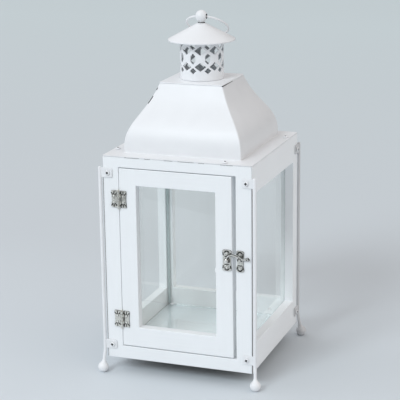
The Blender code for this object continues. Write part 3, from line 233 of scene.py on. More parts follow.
# Hinges
HINGE_HEIGHT = 18.0 * MM
HINGE_LEAF_WIDTH = 8.4 * MM
HINGE_SHEET = 0.8 * MM
HINGE_CORNER = 1 * MM
HINGE_SHOULDER = 0.6  # share of half the height at which the waist begins
HINGE_WAIST = 0.6 * MM
KNUCKLE_RADIUS = 1.4 * MM
KNUCKLE_COUNT = 5
KNUCKLE_ROOT = 0.5 * MM  # how far the knuckles reach into the leaf
KNUCKLE_INSET = 0.04 * MM  # how far they stay off its back
HINGE_LEAF_START = KNUCKLE_RADIUS + GAP + 0.2 * MM
HINGE_PIN_RADIUS = 0.55 * MM
PIN_TIP_RADIUS = 1.1 * MM
PIN_TIP_HEIGHT = 1.5 * MM
PIN_TIP_FOOT = 0.2 * MM
HINGE_X = -62.8 * MM
HINGE_Y = -HALF_BODY - GAP - KNUCKLE_RADIUS
HINGE_MIDDLES = {"upper": FRAME_TOP - 43.8 * MM, "lower": BODY_LIFT + 44.1 * MM}
HINGE_NAIL_SPREAD = 3.4 * MM
HINGE_NAIL_OFFSET = (KNUCKLE_RADIUS + GAP + HINGE_LEAF_WIDTH) / 2
HINGE_ANGLES = (-42, 0, 42)  # degrees from upright
HINGE_SLOTS = (HINGE_ANGLES, *mm(2.3, 3.1, 0.42))  # angles, start, end and half width
HINGE_STROKES = (HINGE_ANGLES, *mm(1.9, 4.5, 0.5))
HINGE_SHADOW_GAP = 0.3 * MM  # painted shadow: bare dark backing beside the knuckles of the door's leaf
HINGE_SHADOW_STRIP = 1.1 * MM  # painted shadow: width of the dark strip next to it
NAIL_RADIUS = 0.5 * MM
NAIL_DEPTH = 5.0 * MM
NAIL_HEAD_RADIUS = 1.1 * MM
NAIL_HEAD_HEIGHT = 0.5 * MM
NAIL_HALO = 1.25 * MM  # radius of the tarnish round a nail head
NAIL_SEAT_Y = -HALF_BODY - GAP - HINGE_SHEET - GAP

# Clasp
CLASP_MIDDLE = BODY_LIFT + 119.5 * MM
CLASP_SHEET = 0.8 * MM
CLASP_PLATE_WIDTH = 10.2 * MM
CATCH_PLATE_WIDTH = 8.4 * MM
CLASP_PLATE_HEIGHT = 22.4 * MM
CLASP_WAIST = 1.0 * MM
CLASP_CREST = 2.0 * MM
CLASP_PLATE_X = 53.5 * MM
CATCH_PLATE_X = 67.5 * MM
CLASP_NAIL_SPREAD = 7.6 * MM
CLASP_SLOTS = ((-86, -43, 0, 43, 86), *mm(2.35, 2.6, 0.5))
CLASP_BAR = mm(2.2, 4.3, 0.5)  # half length, height and half width of the level slots
CLASP_DOTS = (35, 90, 145)  # degrees below level, round each nail
CLASP_DOT_REACH = 2.1 * MM
CLASP_DOT_RADIUS = 0.4 * MM
CLASP_STROKES = ((-55, -20, 20, 55), *mm(2.0, 2.7, 0.5))
RIM_STROKE = (mm(1.3, 5.6), mm(1.0, 8.0))  # inset from the plate's side and height of both ends
RIM_STROKE_RADIUS = 0.55 * MM
PIVOT_SHADOW_ARC = (2.75 * MM, 3.5 * MM, -50, 80)  # painted shadow under the hook's arch: radii and the ends of its arc
PLATE_FRONT = -HALF_BODY - GAP - CLASP_SHEET
HOOK_SHEET = 1.2 * MM
HOOK_BAND = 2.4 * MM
HOOK_EYE_RADIUS = 2.6 * MM
HOOK_LOBE_RADIUS = 3.0 * MM
HOOK_KNOB_RADIUS = 1.9 * MM
HOOK_REACH = CATCH_PLATE_X - CLASP_PLATE_X
HOOK_OVERREACH = 8.6 * MM
HOOK_STUD_RISE = 1.8 * MM  # the stud above the pivot
HOOK_KNOB_RISE = 3.5 * MM
HOOK_NECK_DIP = 0.5 * MM
HOOK_EYE_HANDLE = mm(-0.5, 8.0)
HOOK_LOBE_HANDLE = mm(-5.5, 5.0)
HOOK_SHADOW_RIM = 0.5 * MM  # painted shadow: a dark outline along the hook, round its bright faces
HOOK_FACE_SHARE = 0.6  # where the front face and the dark middle end, of the thickness
HOOK_REAR_SHARE = 0.85
# painted shade: dark spots on the lobe
LOBE_SHADE_SPOTS = (mm(-1.9, -0.3), mm(1.8, -1.2), mm(-0.9, 1.5))
LOBE_SHADE_SPOT_RADIUS = 0.6 * MM
# painted reflection: dark glints on the knob
KNOB_REFLECTION_SPOTS = (mm(0.95, 0.3), mm(-0.9, -0.6))
KNOB_REFLECTION_SPOT_RADIUS = 0.55 * MM
HOOK_BACK = PLATE_FRONT - GAP - NAIL_HEAD_HEIGHT - GAP
HOOK_FRONT = HOOK_BACK - HOOK_SHEET
PIVOT_RADIUS = 1.0 * MM
PIVOT_SHOULDER_RADIUS = 2.0 * MM
PIVOT_HEAD_RADIUS = 2.1 * MM
PIVOT_HEAD_HEIGHT = 0.8 * MM
PIVOT_DEPTH = 5.0 * MM
STUD_RADIUS = 1.1 * MM
STUD_PROUD = 0.8 * MM
STUD_ROOT = 0.2 * MM  # its depth in the plate

# Paint and metal
WHITE_WOOD = (0.890, 0.912, 0.928)
WHITE_SHEET = (0.812, 0.824, 0.840)
GLASS = (0.984, 0.998, 0.990)
FLOOR_GLASS = (0.925, 0.992, 1.0)
CUT_EDGE = 0.05 * MM  # the outermost part of a pane, which is green
GLASS_EDGE = (0.06, 0.13, 0.11)
GLASS_SHADOW = (0.995, 1.0, 0.998)  # what a pane lets through to the lamps
RAW_BOARD = (0.24, 0.22, 0.20)  # the floor board underneath
RAW_BOARD_RISE = 0.1 * MM  # how high the bare wood reaches
NICKEL = (0.95, 0.94, 0.90)
PLATE_NICKEL = (0.92, 0.91, 0.86)
DULL_NICKEL = (0.86, 0.85, 0.79)
PATINA = (0.010, 0.0095, 0.009)
# painted shade in recesses, seams and gaps, and the bare metal of paint chips
RECESS_SHADE_AND_WEAR = (0.012, 0.012, 0.013)
VENT_INSIDE_SHADE = (0.42, 0.44, 0.455)  # painted shade on the inside of the vent
NOISE_RUN = (0.3, 0.7)  # the values that a noise mostly takes


# Mesh tools

def with_settings(thing, settings):
    for name, value in settings.items():
        setattr(thing, name, value)
    return thing


def with_slots(mesh, materials):
    for material in materials:
        mesh.materials.append(material)
    return mesh


def coloured(mesh, material):
    """The mesh all in one material."""
    mesh.materials.clear()
    return with_slots(mesh, [material])


def mesh_of(shape):
    """Turns a bmesh into a mesh with its faces pointing out."""
    bmesh.ops.recalc_face_normals(shape, faces=shape.faces)
    mesh = bpy.data.meshes.new("shape")
    shape.to_mesh(mesh)
    shape.free()
    return mesh


def linked(data, name="work"):
    """A new object of the scene for a mesh, a curve, a lamp or a camera."""
    item = bpy.data.objects.new(name, data)
    scene.collection.objects.link(item)
    return item


def worked(item):
    """The welded mesh of a linked object with its modifiers, which then goes away."""
    bpy.context.view_layer.update()
    evaluated = item.evaluated_get(bpy.context.evaluated_depsgraph_get())
    result = bpy.data.meshes.new_from_object(evaluated)
    shape = bmesh.new()
    shape.from_mesh(result)
    bmesh.ops.remove_doubles(shape, verts=shape.verts, dist=WELD)
    bpy.data.objects.remove(item, do_unlink=True)
    return with_slots(mesh_of(shape), result.materials)


def modified(mesh, kind, **settings):
    """The mesh after one modifier."""
    item = linked(mesh)
    with_settings(item.modifiers.new("work", kind), settings)
    return worked(item)


def combined(mesh, other, operation="DIFFERENCE"):
    """A mesh cut by another, or joined with it."""
    tool = linked(other)
    settings = {"operation": operation, "solver": "EXACT", "material_mode": "TRANSFER", "object": tool}
    result = modified(mesh, "BOOLEAN", **settings)
    bpy.data.objects.remove(tool, do_unlink=True)
    return result


def smooth(mesh, angle):
    """Shades a mesh smooth, with its sharp edges kept."""
    mesh.shade_smooth()
    mesh.set_sharp_from_angle(angle=math.radians(angle))
    return mesh


def pose(place, turn=None):
    return Matrix.Translation(place) @ (turn or Matrix.Identity(3)).to_4x4()


def moved(mesh, place, turn=None):
    """The mesh turned about the origin, and then moved."""
    mesh.transform(pose(place, turn))
    return mesh


def turn_to(axis):
    """The turn that takes +Z to an axis."""
    return Vector((0, 0, 1)).rotation_difference(axis).to_matrix()


def turned_mesh(profile, steps, closed=False):
    """A body turned about Z from radius and height pairs."""
    mesh = bpy.data.meshes.new("profile")
    vertices = [(radius, 0, height) for radius, height in profile]
    edges = [(index, index + 1) for index in range(len(profile) - 1)]
    if closed:
        edges.append((len(profile) - 1, 0))
    mesh.from_pydata(vertices, edges, [])
    settings = {"steps": steps, "render_steps": steps, "merge_threshold": 10 * WELD}
    return modified(mesh, "SCREW", use_merge_vertices=True, **settings)


def arc(centre, radius, start, end, steps):
    """Points on an arc, angles in degrees."""
    points = []
    for step in range(steps + 1):
        angle = math.radians(start + (end - start) * step / steps)
        points.append(Vector(centre) + radius * Vector((math.cos(angle), math.sin(angle))))
    return points


def circle(centre, radius, steps=24):
    return arc(centre, radius, 0, 360, steps)[:-1]


def rectangle(left, right, low, high):
    return [(left, low), (right, low), (right, high), (left, high)]


def rounded_square(half, radius):
    points = []
    for quarter, (x, y) in enumerate(((1, 1), (-1, 1), (-1, -1), (1, -1))):
        centre = (x * (half - radius), y * (half - radius))
        points += arc(centre, radius, 90 * quarter, 90 * quarter + 90, 6)
    return points


def bezier(start, start_handle, end_handle, end, steps):
    """Points on a cubic curve whose handles are given from their ends."""
    start = Vector(start)
    end = Vector(end)
    return interpolate_bezier(start, start + Vector(start_handle), end + Vector(end_handle), end, steps + 1)


def softened(corners, radii, steps=4, closed=True):
    """An outline whose corners are rounded, each by its own radius."""
    points = []
    count = len(corners)
    for index, corner in enumerate(corners):
        corner = Vector(corner)
        radius = radii[index] if isinstance(radii, (list, tuple)) else radii
        if radius == 0 or (not closed and index in (0, count - 1)):
            points.append(corner)
            continue
        back = (Vector(corners[index - 1]) - corner).normalized()
        ahead = (Vector(corners[(index + 1) % count]) - corner).normalized()
        half_turn = math.acos(max(-1, min(1, back.dot(ahead)))) / 2
        reach = radius / math.tan(half_turn)
        for step in range(steps + 1):
            t = step / steps
            points.append(corner + back * reach * (1 - t) ** 2 + ahead * reach * t**2)
    return points


def ring_at(outline, axis, depth):
    """A flat outline as points in space, at a depth along the axis across it."""
    return [Vector((*point[:axis], depth, *point[axis:])) for point in outline]


def prism(outline, axis, near, far):
    """The two rings of a prism along an axis."""
    return [ring_at(outline, axis, near), ring_at(outline, axis, far)]


def lofted_mesh(bodies, capped=True):
    """Skins through closed rings of points, each given as its rings, with end faces or without."""
    shape = bmesh.new()
    for rings in bodies:
        loops = [[shape.verts.new(point) for point in ring] for ring in rings]
        if capped:
            shape.faces.new(loops[0])
            shape.faces.new(list(reversed(loops[-1])))
        for first, last in zip(loops, loops[1:]):
            for index in range(len(first)):
                after = (index + 1) % len(first)
                shape.faces.new((first[index], last[index], last[after], first[after]))
    return mesh_of(shape)


def round_holes_mesh(holes, steps=24):
    """Cylinders that cut holes, each given as its two ends and a radius."""
    shape = bmesh.new()
    for start, end, radius in holes:
        axis = end - start
        bmesh.ops.create_cone(
            shape,
            cap_ends=True,
            segments=steps,
            radius1=radius,
            radius2=radius,
            depth=axis.length,
            matrix=pose(start + axis / 2, turn_to(axis)),
        )
    return mesh_of(shape)


def curve_mesh(outlines, shares=None, **settings):
    """The mesh of a curve with straight runs: closed outlines, or a rod with a radius share a point."""
    curve = with_settings(bpy.data.curves.new("outline", "CURVE"), settings)
    for points in outlines:
        spline = curve.splines.new("POLY")
        spline.points.add(len(points) - 1)
        spline.use_cyclic_u = shares is None
        for index, point in enumerate(points):
            spline.points[index].co = (*Vector(point).to_3d(), 1.0)
            spline.points[index].radius = shares[index] if shares else 1.0
    return worked(linked(curve))


def plate_mesh(outlines, front, back, edge=PLATE_EDGE, upright=True):
    """A sheet with softened edges, from an outline and its holes, between two depths.

    An upright sheet stands in the X-Z plane and faces -Y, and its depths are along Y. Any other
    lies in the X-Y plane, and its depths are its bottom and its top.
    """
    half = (back - front) / 2 - edge
    settings = {"dimensions": "2D", "fill_mode": "BOTH", "extrude": half, "offset": -edge}
    mesh = curve_mesh(outlines, bevel_depth=edge, bevel_resolution=1, **settings)
    middle = (front + back) / 2
    return moved(mesh, (0, middle, 0), FACING) if upright else moved(mesh, (0, 0, middle))


def joined(meshes):
    """One mesh of several, each with its own material slots in turn."""
    shape = bmesh.new()
    materials = []
    for mesh in meshes:
        first = len(shape.faces)
        shape.from_mesh(mesh)
        shape.faces.ensure_lookup_table()
        for face in shape.faces[first:]:
            face.material_index += len(materials)
        materials += list(mesh.materials)
    result = bpy.data.meshes.new("joined")
    shape.to_mesh(result)
    shape.free()
    return with_slots(result, materials)


def mirrored(mesh):
    """The mesh mirrored in X."""
    mesh.transform(Matrix.Scale(-1, 4, (1, 0, 0)))
    mesh.flip_normals()
    return mesh


def add_piece(name, mesh, nodes=(), body="lantern", slot="painted_sheet", place=(0, 0, 0), turn=None):
    """A piece that rides on a body and stands for CAD nodes, or for none."""
    item = linked(mesh, name)
    item.matrix_world = pose(place, turn)
    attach(item, body)
    if nodes:
        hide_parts(*nodes)


# Shader nodes

def add_node(tree, kind, inputs=None, **settings):
    """A node with its settings, and its inputs linked or set on their own sockets."""
    node = with_settings(tree.nodes.new(kind), settings)
    for key, value in (inputs or {}).items():
        socket = node.inputs[key]
        if isinstance(value, bpy.types.NodeSocket):
            tree.links.new(value, socket)
        else:
            socket.default_value = (*value, 1.0) if socket.type == "RGBA" else value
    return node


def new_material(name):
    """An empty node material, its tree and the object's own coordinates."""
    material = bpy.data.materials.new(name)
    material.use_nodes = True
    tree = material.node_tree
    tree.nodes.clear()
    return material, tree, add_node(tree, "ShaderNodeTexCoord").outputs["Object"]


def surfaced(material, shader):
    """The material with a shader node on its surface."""
    add_node(material.node_tree, "ShaderNodeOutputMaterial", {"Surface": shader.outputs[0]})
    return material


def principled(tree, colour, roughness, **inputs):
    """The usual shader. Underscores in the names of its other inputs stand for spaces."""
    sockets = {name.replace("_", " "): value for name, value in inputs.items()}
    sockets.update({"Base Color": colour, "Roughness": roughness})
    return add_node(tree, "ShaderNodeBsdfPrincipled", sockets)


def shader_between(tree, share, first, second):
    inputs = {0: share, 1: first.outputs[0], 2: second.outputs[0]}
    return add_node(tree, "ShaderNodeMixShader", inputs)


def axes_of(tree, place):
    return add_node(tree, "ShaderNodeSeparateXYZ", {"Vector": place}).outputs


def noise(tree, place, scale, stretch=(1, 1, 1), detail=3.0, roughness=0.5):
    """Noise with a scale in repeats a metre, drawn out along an axis whose stretch is small."""
    mapping = add_node(tree, "ShaderNodeMapping", {"Vector": place, "Scale": stretch})
    inputs = {"Vector": mapping.outputs[0], "Scale": scale, "Detail": detail, "Roughness": roughness}
    return add_node(tree, "ShaderNodeTexNoise", inputs).outputs["Fac"]


def ranged(tree, value, low, high, to_low=0, to_high=1):
    """A value mapped from one range to another, and held inside it."""
    inputs = {"Value": value, "From Min": low, "From Max": high, "To Min": to_low, "To Max": to_high}
    return add_node(tree, "ShaderNodeMapRange", inputs).outputs["Result"]


def spread(tree, fleck, to_low=0, to_high=1):
    """A noise's usual run of values, mapped to another."""
    return ranged(tree, fleck, *NOISE_RUN, to_low, to_high)


def math_node(tree, operation, *values):
    return add_node(tree, "ShaderNodeMath", dict(enumerate(values)), operation=operation).outputs[0]


def offset_place(tree, place, offset):
    inputs = {0: place, 1: offset}
    return add_node(tree, "ShaderNodeVectorMath", inputs, operation="ADD").outputs[0]


def mixed(tree, share, first, second):
    """A colour between two, each a socket or a colour."""
    inputs = {0: share, 6: first, 7: second}  # the node's factor and its two colours
    return add_node(tree, "ShaderNodeMix", inputs, data_type="RGBA").outputs[2]


def bumped(tree, strength, distance, height):
    """The surface's direction over a relief."""
    inputs = {"Strength": strength, "Distance": distance, "Height": height}
    return add_node(tree, "ShaderNodeBump", inputs).outputs[0]


def shade(colour, factor):
    return tuple(channel * factor for channel in colour)


# Materials

def paint_on_wood(name, rail_axis, stile_edge, seed, tone, bare_below):
    """Brushed white paint whose streaks follow the stiles and the rails of a frame, over raw board."""
    material, tree, place = new_material(name)
    axes = axes_of(tree, place)
    on_stile = math_node(tree, "GREATER_THAN", math_node(tree, "ABSOLUTE", axes[rail_axis]), stile_edge)
    raw = math_node(tree, "LESS_THAN", axes["Z"], bare_below)
    place = offset_place(tree, place, (seed, seed * 0.7, 0))
    upright = noise(tree, place, 900, (1, 1, 0.03), detail=4)
    lying = noise(tree, place, 900, (0.03, 1, 1) if rail_axis == 0 else (1, 0.03, 1), detail=4)
    inputs = {"Factor": on_stile, "A": lying, "B": upright}
    streaks = add_node(tree, "ShaderNodeMix", inputs, data_type="FLOAT").outputs["Result"]
    cloud = noise(tree, place, 22, detail=2)
    shares = (spread(tree, fleck, 0, 0.5) for fleck in (streaks, cloud))
    share = math_node(tree, "ADD", *shares)
    # tone scales the paint's colour; above 1 it is painted light
    colour = mixed(tree, share, shade(WHITE_WOOD, 0.975 * tone), shade(WHITE_WOOD, 1.015 * tone))
    colour = mixed(tree, raw, colour, RAW_BOARD)
    peel = math_node(tree, "MULTIPLY", noise(tree, place, 2600, detail=1), 0.25)
    normal = bumped(tree, 0.35, 0.09 * MM, math_node(tree, "ADD", streaks, peel))
    roughness = spread(tree, streaks, 0.40, 0.55)
    return surfaced(material, principled(tree, colour, roughness, Normal=normal))


def paint_on_metal(name, wave=0.25, seed=0.0, tone=1.0):
    """Sprayed white paint on sheet metal: orange peel, soft dents and slight mottling."""
    material, tree, place = new_material(name)
    place = offset_place(tree, place, (seed, 0, seed))
    dents = math_node(tree, "MULTIPLY", noise(tree, place, 26, detail=1), 6 * wave)
    peel = math_node(tree, "MULTIPLY", noise(tree, place, 1100, detail=2), 0.12)
    cloud = noise(tree, place, 60, detail=4)
    dark = shade(WHITE_SHEET, 0.985 * tone)
    colour = mixed(tree, spread(tree, cloud), dark, shade(WHITE_SHEET, 1.01 * tone))
    normal = bumped(tree, 0.5, 0.25 * MM, math_node(tree, "ADD", dents, peel))
    roughness = spread(tree, cloud, 0.36, 0.48)
    return surfaced(material, principled(tree, colour, roughness, Normal=normal))


def window_glass(node, thin_axis, tint):
    """Clear float glass with dark green cut edges, which lamps and bounced light pass straight."""
    material, tree, place = new_material(node + "_glass")
    low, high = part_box(node)
    axes = axes_of(tree, place)
    edges = []
    for axis in range(3):
        if axis != thin_axis:
            away = math_node(tree, "SUBTRACT", axes[axis], (low[axis] + high[axis]) / 2)
            half = (high[axis] - low[axis]) / 2 - CUT_EDGE
            edges.append(math_node(tree, "GREATER_THAN", math_node(tree, "ABSOLUTE", away), half))
    smears = noise(tree, place, 35, (1, 1, 0.4), detail=5, roughness=0.6)
    clear = mixed(tree, ranged(tree, smears, 0.35, 0.7), tint, shade(tint, 0.985))
    colour = mixed(tree, math_node(tree, "MAXIMUM", *edges), clear, GLASS_EDGE)
    normal = bumped(tree, 0.25, 0.05 * MM, noise(tree, place, 14, detail=1))
    roughness = ranged(tree, smears, 0.4, 0.75, 0.0, 0.03)
    glass = principled(tree, colour, roughness, IOR=1.5, Transmission_Weight=1.0, Normal=normal)
    light = add_node(tree, "ShaderNodeLightPath").outputs
    straight = add_node(tree, "ShaderNodeBsdfTransparent", {"Color": GLASS_SHADOW})
    shadows = shader_between(tree, light["Is Shadow Ray"], glass, straight)
    return surfaced(material, shader_between(tree, light["Is Diffuse Ray"], shadows, straight))


def nickel_plate(name, tint, tarnish=0.8):
    """Worn nickel plate with a brown-black tarnish in blotches."""
    material, tree, place = new_material(name)
    blotches = noise(tree, place, 900, detail=4, roughness=0.65)
    colour = mixed(tree, ranged(tree, blotches, 0.52, 0.75, 0, tarnish), tint, shade(tint, 0.3))
    normal = bumped(tree, 0.3, 0.03 * MM, noise(tree, place, 2500, (1, 1, 0.08), detail=2))
    roughness = ranged(tree, blotches, 0.3, 0.8, 0.22, 0.5)
    return surfaced(material, principled(tree, colour, roughness, Metallic=1.0, Normal=normal))


def dark_metal(name, colour):
    """A dark matt colour, uneven in tone: tarnish in hollows, painted shade in recesses and gaps, bare metal
    in paint chips, a dark card, old sealant.
    """
    material, tree, place = new_material(name)
    blotches = noise(tree, place, 1400, detail=4, roughness=0.6)
    tone = mixed(tree, ranged(tree, blotches, 0.35, 0.7), shade(colour, 0.7), shade(colour, 1.6))
    normal = bumped(tree, 0.4, 0.04 * MM, blotches)
    roughness = ranged(tree, blotches, 0.3, 0.8, 0.65, 0.9)
    return surfaced(material, principled(tree, tone, roughness, Specular_IOR_Level=0.15, Normal=normal))


def studio_floor():
    """Matt pale paper with a faint fibre, lighter far behind the lantern and just in front of it as painted
    light.
    """
    material, tree, place = new_material("studio_floor")
    fibre = spread(tree, noise(tree, place, 500, detail=2), 0, 0.4)
    cloud = spread(tree, noise(tree, place, 1.5, detail=1), 0, 0.6)
    tone = math_node(tree, "ADD", fibre, cloud)
    colour = mixed(tree, tone, shade(FLOOR_COLOUR, 0.99), shade(FLOOR_COLOUR, 1.01))
    depth = axes_of(tree, place)["Y"]
    # painted light: lighter far behind the lantern, and then just in front of it
    colour = mixed(tree, ranged(tree, depth, 0.4, 2.4), colour, FLOOR_FAR_LIT_COLOUR)
    colour = mixed(tree, ranged(tree, depth, 0.35, -0.1), colour, shade(FLOOR_COLOUR, FLOOR_NEAR_LIGHT_SHARE))
    return surfaced(material, principled(tree, colour, 0.85, Specular_IOR_Level=0.2))


# Studio

def make_floor():
    """A wide disc of paper."""
    mesh = bpy.data.meshes.new("studio_floor")
    shape = bmesh.new()
    bmesh.ops.create_circle(shape, cap_ends=True, segments=96, radius=FLOOR_RADIUS)
    shape.to_mesh(mesh)
    shape.free()
    linked(coloured(mesh, studio_floor()), "studio_floor")


def make_card():
    """A dark card in front of the floor's paper, which only reflections show."""
    shape = bmesh.new()
    shape.faces.new([shape.verts.new(Vector((x, y, 2)) * MM) for x, y in CARD_CORNERS])
    card = linked(coloured(mesh_of(shape), dark_metal("studio_card", CARD_COLOUR)), "studio_card")
    for ray in ("camera", "diffuse", "transmission", "shadow"):
        setattr(card, "visible_" + ray, False)


def make_world():
    """Even soft light, and the floor's own colour past the floor's rim."""
    world = bpy.data.worlds.new("studio")
    scene.world = world
    world.use_nodes = True
    tree = world.node_tree
    tree.nodes.clear()
    axes = axes_of(tree, add_node(tree, "ShaderNodeTexCoord").outputs["Generated"])
    tint = mixed(tree, ranged(tree, axes["X"], -1, 1), AMBIENT_LEFT, AMBIENT_RIGHT)
    aside = math_node(tree, "ABSOLUTE", axes["X"])
    strength = math_node(tree, "MULTIPLY_ADD", aside, AMBIENT_SIDES, AMBIENT_BASE)
    strength = math_node(tree, "MULTIPLY", strength, ranged(tree, axes["Z"], 0, 0.35, AMBIENT_LOW))
    strength = math_node(tree, "ADD", strength, ranged(tree, axes["Z"], 0.5, 1, 0, AMBIENT_TOP))
    ambient = add_node(tree, "ShaderNodeBackground", {"Color": tint, "Strength": strength})
    backdrop = add_node(tree, "ShaderNodeBackground", {"Color": shade(FLOOR_COLOUR, BACKDROP_SHARE)})
    seen = add_node(tree, "ShaderNodeLightPath").outputs["Is Camera Ray"]
    chosen = shader_between(tree, seen, ambient, backdrop)
    add_node(tree, "ShaderNodeOutputWorld", {"Surface": chosen.outputs[0]})


def direction(azimuth, elevation):
    """The way from the lantern towards an azimuth, in degrees from straight in front."""
    turn = math.radians(azimuth)
    rise = math.radians(elevation)
    return Vector((math.sin(turn) * math.cos(rise), -math.cos(turn) * math.cos(rise), math.sin(rise)))


def make_key_light():
    """A large soft box in front of the lantern, to its left."""
    lamp = bpy.data.lights.new("key_light", "AREA")
    with_settings(lamp, {"shape": "SQUARE", "size": KEY_SIZE, "energy": KEY_POWER, "color": KEY_COLOUR})
    key = linked(lamp, "key_light")
    away = direction(KEY_AZIMUTH, KEY_ELEVATION)
    key.location = Vector((0, 0, KEY_HEIGHT)) + away * KEY_DISTANCE
    key.rotation_euler = away.to_track_quat("Z", "Y").to_euler()


def make_camera():
    """The photograph's camera."""
    data = bpy.data.cameras.new("camera")
    lens = FOCAL_PIXELS * SENSOR / IMAGE_SIZE
    with_settings(data, {"sensor_width": SENSOR, "lens": lens, "clip_end": 50})
    camera = linked(data, "camera")
    back = direction(CAMERA_YAW, CAMERA_PITCH)
    yaw = math.radians(CAMERA_YAW)
    right = Vector((math.cos(yaw), math.sin(yaw), 0))
    up = back.cross(right)
    roll = math.radians(CAMERA_ROLL)
    tilted_right = right * math.cos(roll) + up * math.sin(roll)
    tilted_up = up * math.cos(roll) - right * math.sin(roll)
    turn = Matrix((tilted_right, tilted_up, back)).transposed()
    camera.matrix_world = pose(CAMERA_TARGET + back * CAMERA_DISTANCE, turn)
    scene.camera = camera


# Roof

def roof_slope():
    """Points down the roof's hollow side, as distances from the middle and heights."""
    top = (ROOF_TOP_HALF, ROOF_RISE)
    return bezier(top, ROOF_UPPER_HANDLE, ROOF_LOWER_HANDLE, (ROOF_BASE_HALF, 0), ROOF_STEPS)


def roof_screw_places():
    first = Vector((ROOF_SCREW_OFFSET, -HALF_BODY + FRAME_THICKNESS / 2, 0))
    return [rotation(90 * quarter) @ first for quarter in range(4)]


def make_roof_skin(paint):
    """The pressed roof: four hollow-sided faces, soft ridges, the flange and the inward lip."""
    profile = [(ROOF_TOP_HALF - ROOF_LIP, ROOF_RISE), (ROOF_TOP_HALF - ROOF_FOLD, ROOF_RISE)]
    profile.append((ROOF_TOP_HALF - ROOF_FOLD * 0.2, ROOF_RISE - ROOF_FOLD * 0.15))
    profile += roof_slope()[1:-1]
    profile += arc((ROOF_BASE_HALF + ROOF_FOLD, ROOF_FOLD), ROOF_FOLD, 195, 270, 4)
    rings = [ring_at(rounded_square(half, ROOF_RIDGE), 2, FLANGE_TOP + height) for half, height in profile]
    rings.append(ring_at(rounded_square(HALF_BODY, FLANGE_CORNER), 2, FLANGE_TOP))
    settings = {"offset": -1, "use_even_offset": True, "use_quality_normals": True}
    skin = modified(lofted_mesh([rings], capped=False), "SOLIDIFY", thickness=SHEET, **settings)
    holes = []
    for place in roof_screw_places():
        start = place + Vector((0, 0, FLANGE_TOP + SHEET))
        holes.append((start, start - Vector((0, 0, 3 * SHEET)), SCREW_RADIUS + HOLE_CLEARANCE))
    mesh = smooth(combined(skin, round_holes_mesh(holes)), 40)
    add_piece("roof_skin", coloured(mesh, paint), ["roof_shell"])


def make_flange_shade_and_chips(shade_and_wear):
    """Painted shade: dark strips in the gaps under the front of the flange. Also paint chips along the left
    front ridge.
    """
    dark_marks = []
    low, high = (FRAME_TOP + height for height in SHADE_STRIP_HEIGHTS)
    near, far = (-HALF_BODY + depth for depth in SHADE_STRIP_DEPTHS)
    # painted shade: dark strips in the gap under the flange
    for ends in FLANGE_SHADE_STRIPS:
        dark_marks.append(prism(rectangle(*mm(*ends), low, high), 1, near, far))
    outward = Vector((-1, -1, 0)).normalized()
    along = Vector((1, -1, 0)).normalized()
    slope = roof_slope()
    # paint chips on the ridge, showing dark metal
    for chip in RIDGE_CHIPS:
        rings = []
        for step in chip:
            reach = slope[step].x - RIDGE_CUT * ROOF_RIDGE
            middle = Vector((-reach, -reach, FLANGE_TOP + slope[step].y))
            outline = rectangle(-0.5, 0.5, INLAY, -SHEET / 2)
            rings.append([middle + along * x * RIDGE_CHIP_WIDTH + outward * y for x, y in outline])
        dark_marks.append(rings)
    add_piece("flange_shade_and_chips", coloured(lofted_mesh(dark_marks), shade_and_wear))


def make_top_plate(paint, shade_and_wear):
    """The plate that closes the roof round the vent, and a dark strip of painted shade in the open seam on
    its right.
    """
    bore = COLLAR_RADIUS - SHEET - VENT_BORE_LEDGE
    outlines = [rounded_square(ROOF_TOP_HALF, TOP_PLATE_CORNER), circle((0, 0), bore, 64)]
    mesh = plate_mesh(outlines, TOP_PLATE_BOTTOM - GAP, TOP_PLATE_BOTTOM + SHEET, SHEET_EDGE, upright=False)
    add_piece("top_plate", coloured(mesh, paint), ["roof_top_plate"])
    # a dark strip of painted shade in the seam on the right
    near, far, thick, fine, drop = RIGHT_SEAM_SHADE
    top = TOP_PLATE_BOTTOM - drop
    corners = ((near, top + thick / 2), (near, top - thick / 2), (far, top - fine / 2), (far, top + fine / 2))
    seam_shade = prism(corners, 0, ROOF_TOP_HALF - OVERCUT, ROOF_TOP_HALF + SEAM_SHADE_PROUD)
    add_piece("roof_seam_shade", coloured(lofted_mesh([seam_shade]), shade_and_wear))


def vent_prism(angle, height, corners):
    """A prism through the collar's wall with softened corners, from a flat outline."""
    outline = [(x, height + y) for x, y in softened(corners, VENT_CORNER, 3)]
    rings = prism(outline, 0, COLLAR_RADIUS - 4 * SHEET, COLLAR_RADIUS + 2 * SHEET)
    turn = rotation(angle)
    return [[turn @ point for point in ring] for ring in rings]


def diamond(width, height):
    return [(width / 2, 0), (0, height / 2), (-width / 2, 0), (0, -height / 2)]


def make_collar(paint, inside_shade):
    """The pierced vent collar: wide diamonds, small diamonds and pointed slots between them."""
    inner = COLLAR_RADIUS - SHEET
    corners = rectangle(inner, COLLAR_RADIUS, -COLLAR_HEIGHT / 2, COLLAR_HEIGHT / 2)
    wall = turned_mesh(softened(corners, COLLAR_EDGE, 2), COLLAR_STEPS, closed=True)
    side = VENT_SLOT[0] / 2
    tip = VENT_SLOT[1] / 2
    pointed = [(side, tip / 2), (0, tip), (-side, tip / 2), (-side, -tip / 2), (0, -tip), (side, -tip / 2)]
    prisms = []
    pitch = 360 / VENT_COLUMNS
    for column in range(VENT_COLUMNS):
        angle = VENT_FIRST_ANGLE + column * pitch
        prisms.append(vent_prism(angle, 0, pointed))
        for end in (-1, 1):
            prisms.append(vent_prism(angle, end * VENT_SMALL[2], diamond(*VENT_SMALL[:2])))
            prisms.append(vent_prism(angle + pitch / 2, end * VENT_BIG[2], diamond(*VENT_BIG[:2])))
    mesh = with_slots(coloured(combined(wall, lofted_mesh(prisms)), paint), [inside_shade])
    # faces on the inside of the wall get the painted shade
    for face in mesh.polygons:
        if face.center.to_2d().length < inner + 0.1 * SHEET:
            face.material_index = 1
    moved(mesh, (0, 0, COLLAR_BOTTOM + COLLAR_HEIGHT / 2))
    add_piece("pierced_collar", smooth(mesh, 30), ["vent_collar"])


